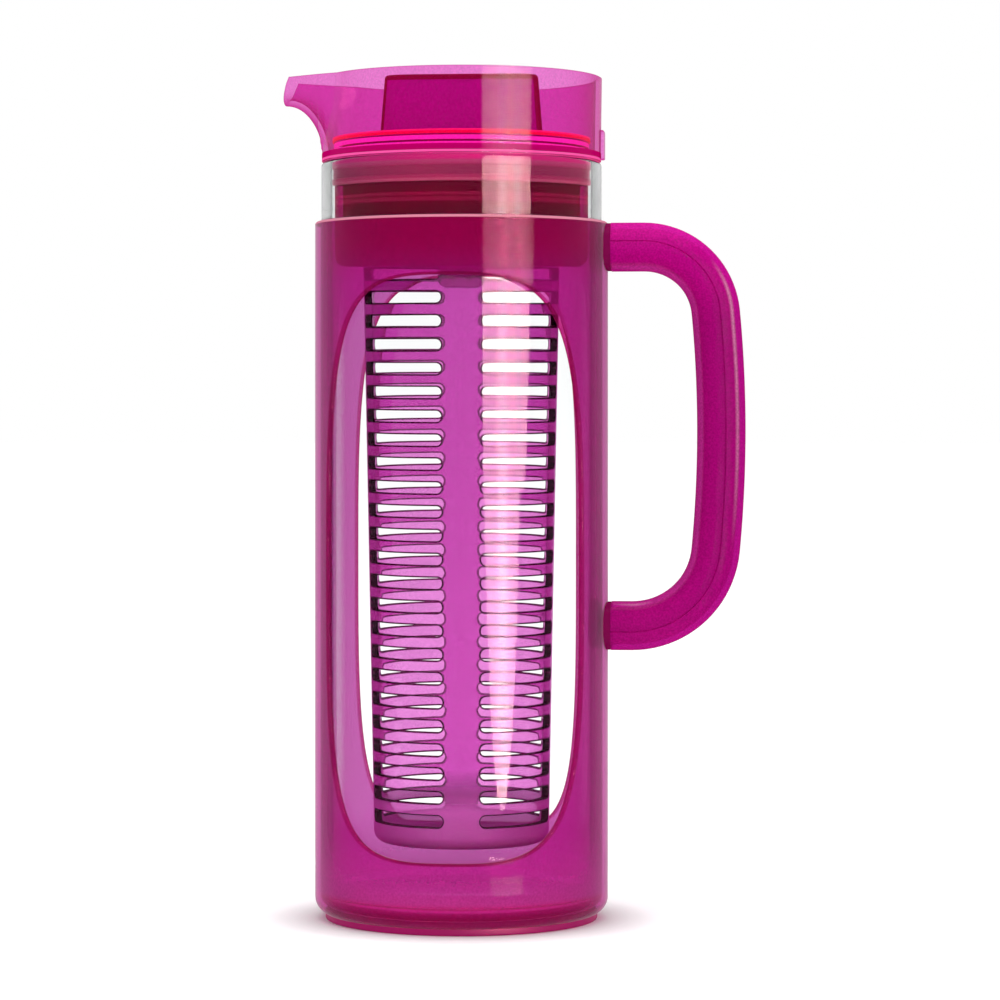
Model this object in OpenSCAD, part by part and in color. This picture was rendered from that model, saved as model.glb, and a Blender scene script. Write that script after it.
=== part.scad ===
// Fruit infuser pitcher: a clear carafe that stands in a coloured sleeve with two tall windows
// and a two-shell handle, under a lid with a pouring collar, a twist stopper and a slotted
// infuser core. The origin is the centre of the base on the table, the handle points to +X,
// the spout to -X, and the windows look along -Y and +Y.

/* [Sleeve] */
// Outer diameter of the sleeve
sleeve_d = 98.2; // [95:0.1:104]
// Height of the sleeve from its underside to its top edge
sleeve_h = 231.3; // [224:0.1:238]
// Thickness of the sleeve's wall
sleeve_wall = 1.8; // [1.5:0.1:2.4]
// Thickness of the sleeve's floor
sleeve_floor = 2.6; // [2.2:0.1:4]
// Radius round the sleeve's lower edge
sleeve_corner = 5.8; // [4:0.1:8]

/* [Windows] */
// Angle that each window takes out of the wall at its widest, in degrees
window_angle = 118.4; // [90:0.2:130]
// Height of the window's lower end above the sleeve's underside
window_lift = 22.1; // [16:0.1:60]
// Depth of the window's upper end under the sleeve's top edge
window_drop = 19.5; // [17:0.1:50]

/* [Foot ring] */
// How far the foot ring's outer edge stands in from the sleeve's side
foot_inset = 3.5; // [3:0.1:8]
// Radial width of the foot ring
foot_w = 5; // [3:0.1:9]
// How far the foot ring stands out under the sleeve
foot_show = 1.7; // [1:0.1:3]
// How deep the foot ring sits in its groove
foot_sink = 0.8; // [0.4:0.1:1.4]

/* [Handle] */
// Clear gap for the fingers between the sleeve and the handle
finger_gap = 29.9; // [24:0.1:40]
// Thickness of the handle, seen from the side
grip_w = 16; // [12:0.1:20]
// Width of the handle, seen from behind
grip_depth = 20; // [14:0.1:28]
// Radius of the edges along the handle
grip_round = 6.4; // [2.6:0.1:6.8]
// Distance between the middles of the two arms
arm_span = 126.4; // [110:0.1:140]
// Distance from the sleeve's top edge down to the middle of the upper arm
arm_drop = 8.6; // [8.2:0.1:14]
// Radius of the middle line at the upper bend
upper_bend = 24; // [18:0.5:30]
// Radius of the middle line at the lower bend
lower_bend = 28; // [20:0.5:32]
// Radius of the slow curve between the bends
bow_r = 420; // [300:10:900]
// Thickness of the two shells of the handle
shell_wall = 2; // [1.4:0.1:2.4]

/* [Carafe] */
// Height of the clear neck between the sleeve and the lid
neck_show = 20.2; // [14:0.1:26]
// Thickness of the carafe's wall
carafe_wall = 3.6; // [2.6:0.1:4.4]
// Thickness of the carafe's floor
carafe_floor = 5; // [3.5:0.1:7]

/* [Lid] */
// Height of the pouring collar
collar_h = 28; // [25:0.1:34]
// Thickness of the collar's wall
collar_wall = 2; // [1.5:0.1:2.4]
// Thickness of the collar's floor
collar_floor = 2.75; // [2:0.05:3.5]
// How far the spout's lip stands out from the collar
spout_out = 13.1; // [10:0.1:18]
// Width of the spout's mouth at the rim
mouth_w = 25; // [16:0.5:30]
// Width of the spout where it leaves the collar
spout_root_w = 42; // [34:0.5:50]
// Depth of the spout's lip under the rim
lip_depth = 8.7; // [7:0.1:11]
// Depth that the plug reaches down into the carafe
plug_depth = 36.4; // [34:0.1:40]

/* [Stopper] */
// Thickness of the stopper's disc
disc_t = 1.6; // [1.2:0.1:2.4]
// Length of the grip at its foot
grip_l = 54.7; // [44:0.1:60]
// Thickness of the grip at its foot
grip_t = 18.4; // [14:0.1:24]
// Height of the grip over the disc
grip_h = 21.2; // [16:0.1:24]
// Thickness of the grip's walls
grip_wall = 1.8; // [1.2:0.1:2.4]

/* [Infuser] */
// Gap between the infuser's shoulder and the carafe's inner wall
infuser_gap = 10.45; // [9.4:0.05:13]
// How much the infuser's radius shrinks towards its lower end
infuser_taper = 3.6; // [1:0.1:6]
// Height of the infuser's lower end over the carafe's floor
infuser_lift = 16.4; // [8:0.1:30]
// Thickness of the infuser's wall
infuser_wall = 2.4; // [1.6:0.1:3]
// Number of slot rows
slot_rows = 24; // [12:1:26]
// Height of each slot
slot_h = 3.6; // [2.4:0.1:4.2]
// Width of each of the four ribs between the slots, in degrees
rib_angle = 24; // [16:1:40]
// Angle by which the infuser sits turned in the lid, in degrees
infuser_turn = 5.3; // [-10:0.1:10]

/* [Hidden] */
$fn = 128;

// Overrun of every cut, and the clearances between the pieces
over = 1;
slip_gap = 0.35;
seal_gap = 0.05;
run_gap = 0.4;
hair = 0.05;

// Sleeve, worked out
sleeve_r = sleeve_d / 2;
sleeve_bore_r = sleeve_r - sleeve_wall;
sleeve_z = foot_show;
sleeve_top_z = sleeve_z + sleeve_h;
sleeve_lip = 1.3;
window_top_power = 3.2;
window_low_power = 3.5;
window_steps = 96;
window_h = sleeve_h - window_lift - window_drop;
window_z = sleeve_z + window_lift + window_h / 2;
foot_r = sleeve_r - foot_inset;

// Handle, worked out
boss_show = 1.3;
boss_x = sleeve_r + boss_show;
boss_spigot = 4;
grip_x = sleeve_r + finger_gap + grip_w / 2;
upper_arm_z = sleeve_top_z - arm_drop;
lower_arm_z = upper_arm_z - arm_span;
bow_z = (upper_arm_z - upper_bend + lower_arm_z + lower_bend) / 2;
bow_x = grip_x - bow_r;
upper_bend_z = upper_arm_z - upper_bend;
lower_bend_z = lower_arm_z + lower_bend;
upper_turn = asin((upper_bend_z - bow_z) / (bow_r - upper_bend));
lower_turn = asin((lower_bend_z - bow_z) / (bow_r - lower_bend));
upper_bend_x = bow_x + (bow_r - upper_bend) * cos(upper_turn);
lower_bend_x = bow_x + (bow_r - lower_bend) * cos(lower_turn);
seam_u = grip_w - grip_round;
seam_groove = 0.35;
cover_lip = 1.4;
cover_lip_wall = 0.9;
bend_steps = 12;
bow_steps = 6;
corner_steps = 6;

// Carafe, worked out
carafe_r = sleeve_bore_r - slip_gap;
carafe_bore_r = carafe_r - carafe_wall;
carafe_z = sleeve_z + sleeve_floor;
gasket_flange = 0.5;
lid_z = sleeve_top_z + neck_show;
carafe_rim_z = lid_z - gasket_flange;
carafe_h = carafe_rim_z - carafe_z;
carafe_corner = 5;
carafe_inner_corner = 6;
carafe_rim_round = 1;

// Lid, worked out
collar_step = 0.25;
collar_r = carafe_r - collar_step;
collar_draft = 0.4;
collar_top_z = lid_z + collar_h;
collar_floor_z = lid_z + collar_floor;
spout_reach = collar_r + spout_out;
spout_sweep_r = 13.9;
spout_foot_lift = 0.8;
spout_sweep_h = collar_h - lip_depth - spout_foot_lift;
spout_power = 2.3;
spout_steps = 14;
trough_steps = 24;
root_lap = 12;
mouth_slant = 17.8;
tab_show = 1.3;
tab_w = 10;
tab_h = 9.6;
tab_lift = 0.5;
plug_gap = 0.95;
plug_r = carafe_bore_r - plug_gap;
plug_wall = 2.7;
lid_bore_r = plug_r - plug_wall;
plug_z = lid_z - plug_depth;
plug_floor = 1.9;
plug_corner = 4;
plug_inner_corner = 2;
gasket_h = 9.25;
gasket_land = 1;
gasket_z = lid_z - gasket_h;
gasket_seat_r = plug_r - gasket_land;
gasket_edge = 0.3;
rib_upper = 3.4;
rib_lower = 1.9;
gasket_waist = 0.4;
drain_d = 2.8;
drain_count = 24;
drain_edge = 0.4;
drain_r = plug_r - plug_corner - drain_edge - drain_d / 2;

// Stopper, worked out
disc_gap = 1.6;
disc_r = collar_r - collar_wall - disc_gap;
flange_h = 3.4;
flange_in = 0.5;
disc_z = collar_floor_z + flange_h + hair;
disc_top_z = disc_z + disc_t;
body_r = lid_bore_r - run_gap;
body_step = 1.9;
body_low_r = body_r - body_step;
body_low_wall = 1.6;
body_bore_r = body_low_r - body_low_wall;
body_step_drop = 12.7;
body_step_z = lid_z - body_step_drop;
body_lift = 5.2;
body_z = plug_z + body_lift;
seal_r = 1.3;
seal_mid_r = lid_bore_r - seal_gap - seal_r;
seal_drop = 6.2;
seal_z = lid_z - seal_drop;
seal_play = 0.3;
seal_groove_h = 2 * seal_r + seal_play;
rotor_r = body_bore_r - run_gap;
rotor_wall = 1.6;
rotor_drop = 9.9;
rotor_z = lid_z - rotor_drop;
snap_h = 1.6;
snap_out = 0.9;
port_angle = 56;
port_sill = 0.25;
grip_taper = 1.6;
grip_edge = 1;
grip_corner_power = 6;
grip_steps = 64;

// Infuser, worked out
shoulder_gap = 0.3;
shoulder_z = plug_z - shoulder_gap;
infuser_r = carafe_bore_r - infuser_gap;
infuser_low_r = infuser_r - infuser_taper;
infuser_z = carafe_z + carafe_floor + infuser_lift;
infuser_h = shoulder_z - infuser_z;
infuser_corner = 4;
infuser_floor = 2.2;
neck_step = 2.6;
neck_r = infuser_r - neck_step;
neck_h = 6.4;
neck_wall = 2;
socket_r = neck_r + slip_gap;
lug_angle = 26;
lug_out = 3.4;
lug_h = 2.3;
notch_play = 3;
bayonet_turn = 60;
slot_top_gap = 2.3;
slot_low_gap = 9.4;
slot_top_z = shoulder_z - slot_top_gap;
slot_pitch = (infuser_h - slot_top_gap - slot_low_gap) / (slot_rows - 1);
pad_w = 15;
pad_h = 6.8;
pad_out = 0.7;
pad_round = 2.4;
hole_d = 3.2;
hole_ring_r = 7.4;
hole_count = 4;

// Half profile of a round pot with a rounded lower edge, from the axis outwards
module pot_half(r, h, corner) {
  difference() {
    square([r, h]);
    translate([r - corner, -over])
      difference() {
        square([corner + over, corner + over]);
        translate([0, corner + over]) circle(corner);
      }
  }
}

// The bit that a rounded upper edge loses, at an outer radius and a height
module edge_bit(r, h, round) {
  translate([r - round, h - round])
    difference() {
      square([round + over, round + over]);
      circle(round);
    }
}

// A sector of a ring, centred on an angle
module ring_sector(r_in, r_out, h, mid, angle) {
  rotate([0, 0, mid - angle / 2])
    rotate_extrude(angle = angle)
      translate([r_in, 0]) square([r_out - r_in, h]);
}

// Outline of a window as seen along Y: angle and height follow a curve between an oval and a box
function window_power(t) = sin(t) >= 0 ? window_top_power : window_low_power;
function soft(v, p) = sign(v) * pow(abs(v), 2 / p);
function window_point(t) = [
  sleeve_r * sin(window_angle / 2 * soft(cos(t), window_power(t))),
  window_z + window_h / 2 * soft(sin(t), window_power(t))];

// Cutter that opens the front and the back window in one straight pass
module window_cutter() {
  rotate([90, 0, 0])
    linear_extrude(2 * (sleeve_r + over), center = true)
      polygon([for (i = [0:window_steps - 1]) window_point(360 * i / window_steps)]);
}

// Outline across the handle, from its inner face outwards, drawn in by an inset
module grip_outline(inset) {
  w = grip_w - 2 * inset;
  d = grip_depth - 2 * inset;
  r = grip_round - inset;
  translate([inset, -d / 2]) {
    translate([r, 0]) square([w - 2 * r, d]);
    translate([0, r]) square([w, d - 2 * r]);
    for (u = [r, w - r], v = [r, d - r])
      translate([u, v]) circle(r);
  }
}

// Stations along the handle's middle line: x, z and the direction of its outer side
function bend_stations(x, z, r, from, to, n) = [for (i = [0:n])
  let (a = from + (to - from) * i / n) [x + r * cos(a), z + r * sin(a), a]];
function handle_stations() = concat(
  [[boss_x, upper_arm_z, 90]],
  bend_stations(upper_bend_x, upper_bend_z, upper_bend, 90, upper_turn, bend_steps),
  [for (i = [1:bow_steps - 1]) let (a = upper_turn + (lower_turn - upper_turn) * i / bow_steps)
    [bow_x + bow_r * cos(a), bow_z + bow_r * sin(a), a]],
  bend_stations(lower_bend_x, lower_bend_z, lower_bend, lower_turn, -90, bend_steps),
  [[boss_x, lower_arm_z, -90]]);

// Solid swept along the handle: a wall between an outer and an inner line of as many points
module handle_sweep(outer, inner) {
  stations = handle_stations();
  n = len(outer);
  m = 2 * n;
  loop = concat(outer, [for (i = [n - 1:-1:0]) inner[i]]);
  last = len(stations) - 1;
  points = [for (s = stations, p = loop)
    [s[0] + (p[0] - grip_w / 2) * cos(s[2]), p[1], s[1] + (p[0] - grip_w / 2) * sin(s[2])]];
  sides = [for (k = [0:last - 1], i = [0:m - 1]) let (j = (i + 1) % m)
    each [[k * m + i, (k + 1) * m + i, (k + 1) * m + j], [k * m + i, (k + 1) * m + j, k * m + j]]];
  ends = [for (i = [0:n - 2]) let (a = last * m)
    each [[i, m - 2 - i, m - 1 - i], [i, i + 1, m - 2 - i],
      [a + m - 1 - i, a + m - 2 - i, a + i], [a + m - 2 - i, a + i + 1, a + i]]];
  polyhedron(points = points, faces = concat(sides, ends));
}

// A rounded corner of a line
function corner(u, v, r, from, to, n) = [for (i = [0:n])
  let (a = from + (to - from) * i / n) [u + r * cos(a), v + r * sin(a)]];

// Inner shell: an open channel with a groove along its two outer edges
function channel_line(inset) =
  let (d = grip_depth / 2, r = grip_round, g = seam_groove, s = seam_u, n = corner_steps,
    edge = inset > 0 ? inset : g)
  concat(
    [[s, edge - d], [s - g, inset - d]], corner(r, r - d, r - inset, -90, -180, n),
    corner(r, d - r, r - inset, 180, 90, n), [[s - g, d - inset], [s, d - edge]]);

// Outer shell: a crowned cap whose lip reaches into the channel
function cover_outer() =
  let (d = grip_depth / 2, r = grip_round, g = seam_groove, s = seam_u, n = corner_steps,
    side = d - shell_wall - hair, bite = asin(g / r))
  concat(
    [[s - cover_lip, side], [s, side], [s, d - g]], corner(s, d - r, r, 90 - bite, 0, n),
    corner(s, r - d, r, 0, bite - 90, n), [[s, g - d], [s, -side], [s - cover_lip, -side]]);
function cover_inner() =
  let (d = grip_depth / 2, s = seam_u, lip = cover_lip_wall, n = corner_steps + 1,
    side = d - shell_wall - lip, q = grip_round - shell_wall - lip)
  concat(
    [[s - cover_lip, side], [s - cover_lip / 2, side]], corner(s + lip, side - q, q, 90, 0, n),
    corner(s + lip, q - side, q, 0, -90, n), [[s - cover_lip / 2, -side], [s - cover_lip, -side]]);

// A straight arm of the handle; up is 1 where the outer face is the upper one
module arm(x_from, x_to, z, up) {
  translate([x_from, 0, z])
    mirror([0, 0, up > 0 ? 1 : 0])
      translate([0, 0, grip_w / 2])
        rotate([0, 90, 0])
          linear_extrude(x_to - x_from) children();
}

// The two pads on the sleeve that carry the handle, each with a spigot into the arm
module handle_bosses() {
  for (place = [[upper_arm_z, 1], [lower_arm_z, -1]]) {
    difference() {
      arm(sleeve_bore_r - sleeve_wall, boss_x, place[0], place[1]) grip_outline(0);
      translate([0, 0, place[0] - grip_w])
        cylinder(h = 2 * grip_w, r = sleeve_bore_r + sleeve_wall / 2);
    }
    arm(boss_x - hair, boss_x + boss_spigot, place[0], place[1])
      grip_outline(shell_wall + cover_lip_wall + hair);
  }
}

module outer_sleeve() {
  color([0.62, 0.07, 0.42, 0.8]) {
    difference() {
      translate([0, 0, sleeve_z])
        rotate_extrude()
          difference() {
            pot_half(sleeve_r, sleeve_h, sleeve_corner);
            translate([0, sleeve_floor])
              pot_half(sleeve_bore_r, sleeve_h, sleeve_corner - sleeve_wall);
            edge_bit(sleeve_r, sleeve_h, sleeve_lip);
          }
      window_cutter();
      translate([0, 0, sleeve_z])
        rotate_extrude()
          translate([foot_r - foot_w, -over]) square([foot_w, over + foot_sink]);
    }
    handle_bosses();
  }
}

module handle_channel() {
  color([0.66, 0.09, 0.45, 0.8]) handle_sweep(channel_line(0), channel_line(shell_wall));
}

module handle_cover() {
  color([0.7, 0.1, 0.48, 0.8]) handle_sweep(cover_outer(), cover_inner());
}

module foot_ring() {
  color([0.5, 0.04, 0.33])
    rotate_extrude()
      translate([foot_r - foot_w + hair, 0])
        difference() {
          square([foot_w - 2 * hair, foot_show + foot_sink]);
          for (u = [0, foot_w - 2 * hair])
            translate([u, 0]) rotate([0, 0, 45]) square(foot_sink, center = true);
        }
}

module carafe() {
  color([0.9, 0.93, 0.93, 0.35])
    translate([0, 0, carafe_z])
      rotate_extrude()
        difference() {
          pot_half(carafe_r, carafe_h, carafe_corner);
          translate([0, carafe_floor]) pot_half(carafe_bore_r, carafe_h, carafe_inner_corner);
          edge_bit(carafe_r, carafe_h, carafe_rim_round);
          translate([2 * (carafe_bore_r + carafe_rim_round) - carafe_bore_r, 0])
            mirror([1, 0]) edge_bit(carafe_bore_r + carafe_rim_round, carafe_h, carafe_rim_round);
        }
}

// The underside of the spout follows a quarter of an oval from the collar's foot to the lip;
// grow moves it inwards by the wall, and a station is an angle along that quarter
spout_lip_x = -spout_reach;
spout_foot_z = collar_top_z - lip_depth - spout_sweep_h;
function spout_x(a, grow) = spout_lip_x + (spout_sweep_r + grow) * cos(a);
function spout_low(a, grow) = spout_foot_z + (spout_sweep_h + grow) * sin(a);
function spout_half(x, grow) =
  let (run = (-collar_r - x) / (spout_reach - collar_r))
  spout_root_w / 2 + (mouth_w / 2 - spout_root_w / 2) * run - grow;

// Section of the spout across its channel: a deep round-bottomed trough, open at the rim
function trough(x, low, half, top) = concat(
  top > collar_top_z ? [[x, -half, top]] : [],
  [for (i = [0:trough_steps]) let (t = 180 + 180 * i / trough_steps)
    [x, half * soft(cos(t), spout_power),
      collar_top_z + (collar_top_z - low) * soft(sin(t), spout_power)]],
  top > collar_top_z ? [[x, half, top]] : []);

// Trough-shaped solid from inside the collar to the slanted mouth, which a lap may run past
module spout_solid(grow, top, floor_z, past) {
  lean = tan(mouth_slant);
  stations = concat(
    [[spout_x(0, grow) + root_lap, max(spout_low(0, grow), floor_z), 0]],
    [for (i = [0:spout_steps - 1]) let (a = 90 * i / spout_steps)
      [spout_x(a, grow), max(spout_low(a, grow), floor_z), lean * pow(i / spout_steps, 2)]],
    [[spout_lip_x - past, collar_top_z - lip_depth + grow, lean]]);
  rings = [for (s = stations)
    [for (p = trough(s[0], s[1], spout_half(s[0], grow), top))
      [p[0] + s[2] * (p[2] - collar_top_z + lip_depth), p[1], p[2]]]];
  m = len(rings[0]);
  last = len(rings) - 1;
  sides = [for (k = [0:last - 1], i = [0:m - 1]) let (j = (i + 1) % m)
    each [[k * m + i, (k + 1) * m + j, (k + 1) * m + i], [k * m + i, k * m + j, (k + 1) * m + j]]];
  ends = [[for (i = [m - 1:-1:0]) i], [for (i = [0:m - 1]) last * m + i]];
  polyhedron(points = [for (ring = rings) each ring], faces = concat(sides, ends));
}

module pour_collar() {
  inner_r = collar_r - collar_wall;
  color([0.85, 0.3, 0.68, 0.6])
    difference() {
      union() {
        rotate_extrude()
          polygon([
            [0, lid_z], [collar_r, lid_z], [collar_r + collar_draft, collar_top_z],
            [collar_r + collar_draft, collar_top_z + 2 * over], [0, collar_top_z + 2 * over]]);
        spout_solid(0, collar_top_z + over, lid_z, 0);
        translate([collar_r - collar_wall / 2, -tab_w / 2, lid_z + tab_lift])
          cube([collar_wall / 2 + tab_show, tab_w, tab_h]);
      }
      rotate_extrude()
        polygon([
          [0, collar_floor_z], [inner_r, collar_floor_z], [inner_r + collar_draft, collar_top_z],
          [inner_r + collar_draft, collar_top_z + 3 * over], [0, collar_top_z + 3 * over]]);
      translate([0, 0, lid_z - over]) cylinder(h = collar_floor + 2 * over, r = lid_bore_r);
      spout_solid(collar_wall, collar_top_z + 4 * over, collar_floor_z + hair, over);
      translate([0, 0, collar_top_z]) cylinder(h = 4 * over, r = 2 * collar_r);
    }
}

// The plug hangs from the collar into the neck, carries the gasket, and holds the infuser
module neck_plug() {
  color([0.6, 0.03, 0.36, 0.75])
    difference() {
      translate([0, 0, plug_z])
        rotate_extrude()
          difference() {
            pot_half(plug_r, plug_depth, plug_corner);
            translate([0, plug_floor]) pot_half(lid_bore_r, plug_depth, plug_inner_corner);
            translate([gasket_seat_r, plug_depth - gasket_h])
              square([gasket_land + over, gasket_h + over]);
          }
      translate([0, 0, plug_z - over]) cylinder(h = plug_floor + 2 * over, r = socket_r);
      for (side = [0, 180])
        translate([0, 0, plug_z - over])
          ring_sector(socket_r - over, neck_r + lug_out + slip_gap, plug_floor + 2 * over,
            infuser_turn - 90 + bayonet_turn + side, lug_angle + notch_play);
      for (i = [0:drain_count - 1])
        rotate([0, 0, 360 * (i + 0.5) / drain_count])
          translate([drain_r, 0, plug_z - over])
            cylinder(h = plug_floor + 2 * over, d = drain_d, $fn = 32);
    }
}

module neck_gasket() {
  seat = gasket_seat_r + hair;
  rib_r = carafe_bore_r - seal_gap;
  waist_r = rib_r - gasket_waist;
  body_h = gasket_h - gasket_flange;
  color([0.85, 0.7, 0.76, 0.7])
    translate([0, 0, gasket_z])
      rotate_extrude() {
        translate([seat, hair]) square([waist_r - seat, body_h - hair]);
        translate([seat, hair]) square([rib_r - seat, rib_lower]);
        translate([seat, body_h - rib_upper]) square([rib_r - seat, rib_upper]);
        translate([seat, body_h]) square([collar_r - gasket_edge - seat, gasket_flange]);
      }
}

module stopper_body() {
  color([0.55, 0.02, 0.32, 0.75])
    difference() {
      rotate_extrude()
        difference() {
          union() {
            translate([body_bore_r, body_z])
              square([body_low_wall, collar_floor_z - body_z]);
            translate([body_bore_r, body_step_z])
              square([body_r - body_bore_r, collar_floor_z - body_step_z]);
            translate([body_bore_r, collar_floor_z])
              square([disc_r - flange_in - body_bore_r, flange_h]);
          }
          translate([seal_mid_r - seal_r - hair, seal_z - seal_groove_h / 2])
            square([2 * seal_r + over, seal_groove_h]);
          translate([body_bore_r - over, rotor_z - run_gap])
            square([over + snap_out + run_gap, snap_h + 2 * run_gap]);
        }
      translate([0, 0, collar_floor_z + port_sill])
        ring_sector(body_bore_r - over, disc_r + over, flange_h, 180, port_angle);
    }
}

module stopper_seal() {
  color([0.9, 0.86, 0.88])
    translate([0, 0, seal_z]) rotate_extrude() translate([seal_mid_r, 0]) circle(seal_r, $fn = 48);
}

// Plan of the grip: a long box with soft corners and faintly crowned faces
function grip_plan(l, t) = [for (i = [0:grip_steps - 1]) let (a = 360 * i / grip_steps)
  [l / 2 * soft(cos(a), grip_corner_power), t / 2 * soft(sin(a), grip_corner_power / 2)]];

// Tapered block of the grip, drawn in by an inset, with a softened upper edge
module grip_block(inset, z_from, z_to) {
  hull() {
    translate([0, 0, z_from])
      linear_extrude(hair) polygon(grip_plan(grip_l - 2 * inset, grip_t - 2 * inset));
    translate([0, 0, z_to - grip_edge])
      linear_extrude(hair)
        polygon(grip_plan(grip_l - 2 * grip_taper - 2 * inset, grip_t - 2 * grip_taper - 2 * inset));
    translate([0, 0, z_to - hair])
      linear_extrude(hair)
        polygon(grip_plan(grip_l - 2 * (grip_taper + grip_edge) - 2 * inset,
          grip_t - 2 * (grip_taper + grip_edge) - 2 * inset));
  }
}

module stopper_cap() {
  color([0.6, 0.0, 0.36, 0.8])
    difference() {
      union() {
        translate([0, 0, disc_z]) cylinder(h = disc_t, r = disc_r);
        grip_block(0, disc_z + disc_t / 2, disc_top_z + grip_h);
        difference() {
          union() {
            translate([0, 0, rotor_z]) cylinder(h = disc_z - rotor_z, r = rotor_r);
            translate([0, 0, rotor_z]) cylinder(h = snap_h, r = body_bore_r + snap_out - run_gap / 2);
          }
          translate([0, 0, rotor_z - over])
            cylinder(h = disc_z - rotor_z + over, r = rotor_r - rotor_wall);
          translate([0, 0, collar_floor_z + port_sill])
            ring_sector(rotor_r - rotor_wall - over, rotor_r + over,
              disc_z - collar_floor_z - port_sill, 90, port_angle);
        }
      }
      grip_block(grip_wall, disc_z - over, disc_top_z + grip_h - grip_wall);
    }
}

// Radius of the infuser's outer face at a height
function infuser_face(z) =
  infuser_low_r + (infuser_r - infuser_low_r) * (z - infuser_z) / infuser_h;

// One column of slots, cut straight out from the axis between two ribs; each has round ends
module slot_column(quarter) {
  rotate([0, 0, quarter])
    rotate([90, 0, 90])
      linear_extrude(infuser_r + over)
        for (row = [0:slot_rows - 1]) {
          z = slot_top_z - row * slot_pitch;
          half = infuser_face(z) * sin(45 - rib_angle / 2) - slot_h / 2;
          translate([-half, z - slot_h / 2]) square([2 * half, slot_h]);
          for (side = [-1, 1])
            translate([side * half, z]) circle(d = slot_h, $fn = 32);
        }
}

module infuser_core() {
  low = infuser_low_r;
  in = infuser_wall;
  color([0.6, 0.1, 0.45, 0.55])
    rotate([0, 0, infuser_turn])
      difference() {
        union() {
          difference() {
            rotate_extrude() {
              polygon([
                [0, infuser_z + infuser_corner], [infuser_face(infuser_z + infuser_corner),
                infuser_z + infuser_corner], [infuser_r, shoulder_z], [0, shoulder_z]]);
              translate([0, infuser_z])
                pot_half(infuser_face(infuser_z + infuser_corner), infuser_corner, infuser_corner);
            }
            rotate_extrude()
              polygon([
                [0, infuser_z + infuser_floor], [low - in - infuser_floor, infuser_z + infuser_floor],
                [low - in, infuser_z + 2 * infuser_floor], [infuser_r - in, shoulder_z - neck_wall],
                [neck_r - neck_wall, shoulder_z], [neck_r - neck_wall, shoulder_z + over],
                [0, shoulder_z + over]]);
          }
          translate([0, 0, shoulder_z]) difference() {
            cylinder(h = neck_h, r = neck_r);
            translate([0, 0, -over]) cylinder(h = neck_h + 2 * over, r = neck_r - neck_wall);
          }
          for (side = [-90, 90]) {
            translate([0, 0, plug_z + plug_floor + hair])
              ring_sector(neck_r - neck_wall / 2, neck_r + lug_out, lug_h, side, lug_angle);
            rotate([0, 0, side]) key_pad();
          }
        }
        for (quarter = [45:90:315]) slot_column(quarter);
        translate([0, 0, infuser_z - over]) {
          cylinder(h = infuser_floor + 2 * over, d = hole_d, $fn = 32);
          for (i = [0:hole_count - 1])
            rotate([0, 0, 360 * i / hole_count])
              translate([hole_ring_r, 0, 0])
                cylinder(h = infuser_floor + 2 * over, d = hole_d, $fn = 32);
        }
      }
}

// Raised pad under each lug, with round lower corners, on the +X side of its own frame
module key_pad() {
  difference() {
    intersection() {
      translate([0, 0, shoulder_z - pad_h])
        cylinder(h = pad_h, r = infuser_r + pad_out);
      translate([infuser_low_r, 0, shoulder_z - pad_h])
        rotate([90, 0, 90])
          linear_extrude(infuser_r) {
            translate([-pad_w / 2, pad_round]) square([pad_w, pad_h - pad_round]);
            translate([-pad_w / 2 + pad_round, 0]) square([pad_w - 2 * pad_round, pad_h]);
            for (side = [-1, 1])
              translate([side * (pad_w / 2 - pad_round), pad_round]) circle(pad_round, $fn = 48);
          }
    }
    translate([0, 0, shoulder_z - pad_h - over])
      cylinder(h = pad_h + 2 * over, r = infuser_r - infuser_wall / 2);
  }
}

outer_sleeve();
handle_channel();
handle_cover();
foot_ring();
carafe();
pour_collar();
neck_plug();
neck_gasket();
stopper_body();
stopper_seal();
stopper_cap();
infuser_core();
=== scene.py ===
import math
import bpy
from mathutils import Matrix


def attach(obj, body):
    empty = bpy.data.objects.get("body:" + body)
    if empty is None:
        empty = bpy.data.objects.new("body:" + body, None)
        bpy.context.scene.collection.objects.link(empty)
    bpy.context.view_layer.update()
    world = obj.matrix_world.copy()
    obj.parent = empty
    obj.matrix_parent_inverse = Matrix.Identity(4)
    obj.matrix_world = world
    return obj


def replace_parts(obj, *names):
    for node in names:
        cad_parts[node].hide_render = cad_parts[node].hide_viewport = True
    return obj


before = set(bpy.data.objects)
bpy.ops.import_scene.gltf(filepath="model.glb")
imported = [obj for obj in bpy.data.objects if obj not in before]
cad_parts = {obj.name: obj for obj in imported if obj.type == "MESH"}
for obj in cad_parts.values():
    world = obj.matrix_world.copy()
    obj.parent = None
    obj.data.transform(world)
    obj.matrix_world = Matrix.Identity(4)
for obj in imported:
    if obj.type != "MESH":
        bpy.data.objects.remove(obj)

from types import SimpleNamespace

import bmesh
import bpy
import numpy as np
from bpy.props import FloatProperty, FloatVectorProperty, PointerProperty

bl_info = {
    "name": "Infuser Pitcher",
    "version": (1, 0, 0),
    "blender": (4, 2, 0),
    "location": "3D View > Sidebar > Pitcher",
    "description": "Builds the dressed surfaces and the studio of a fruit infuser pitcher",
    "category": "Object",
}

MM = 0.001  # a millimetre in metres
TURN = 192  # columns in a full turn
WELD = 1e-6  # metres within which points become one
NEAR = 1e-6  # millimetres within which two measures are the same
CAMERA_TURN = 5.3  # degrees that the camera stands round from the front
KNOB_TAPER = 1.6  # millimetres that the grip draws in from its foot to its top


# Settings


def length(title, mm, about):
    """A length property in metres, from a value in millimetres."""
    return FloatProperty(name=title, description=about, default=mm * MM, unit="LENGTH")


def turn(title, degrees, about):
    """An angle property, from a value in degrees."""
    return FloatProperty(name=title, description=about, default=math.radians(degrees), subtype="ANGLE")


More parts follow.
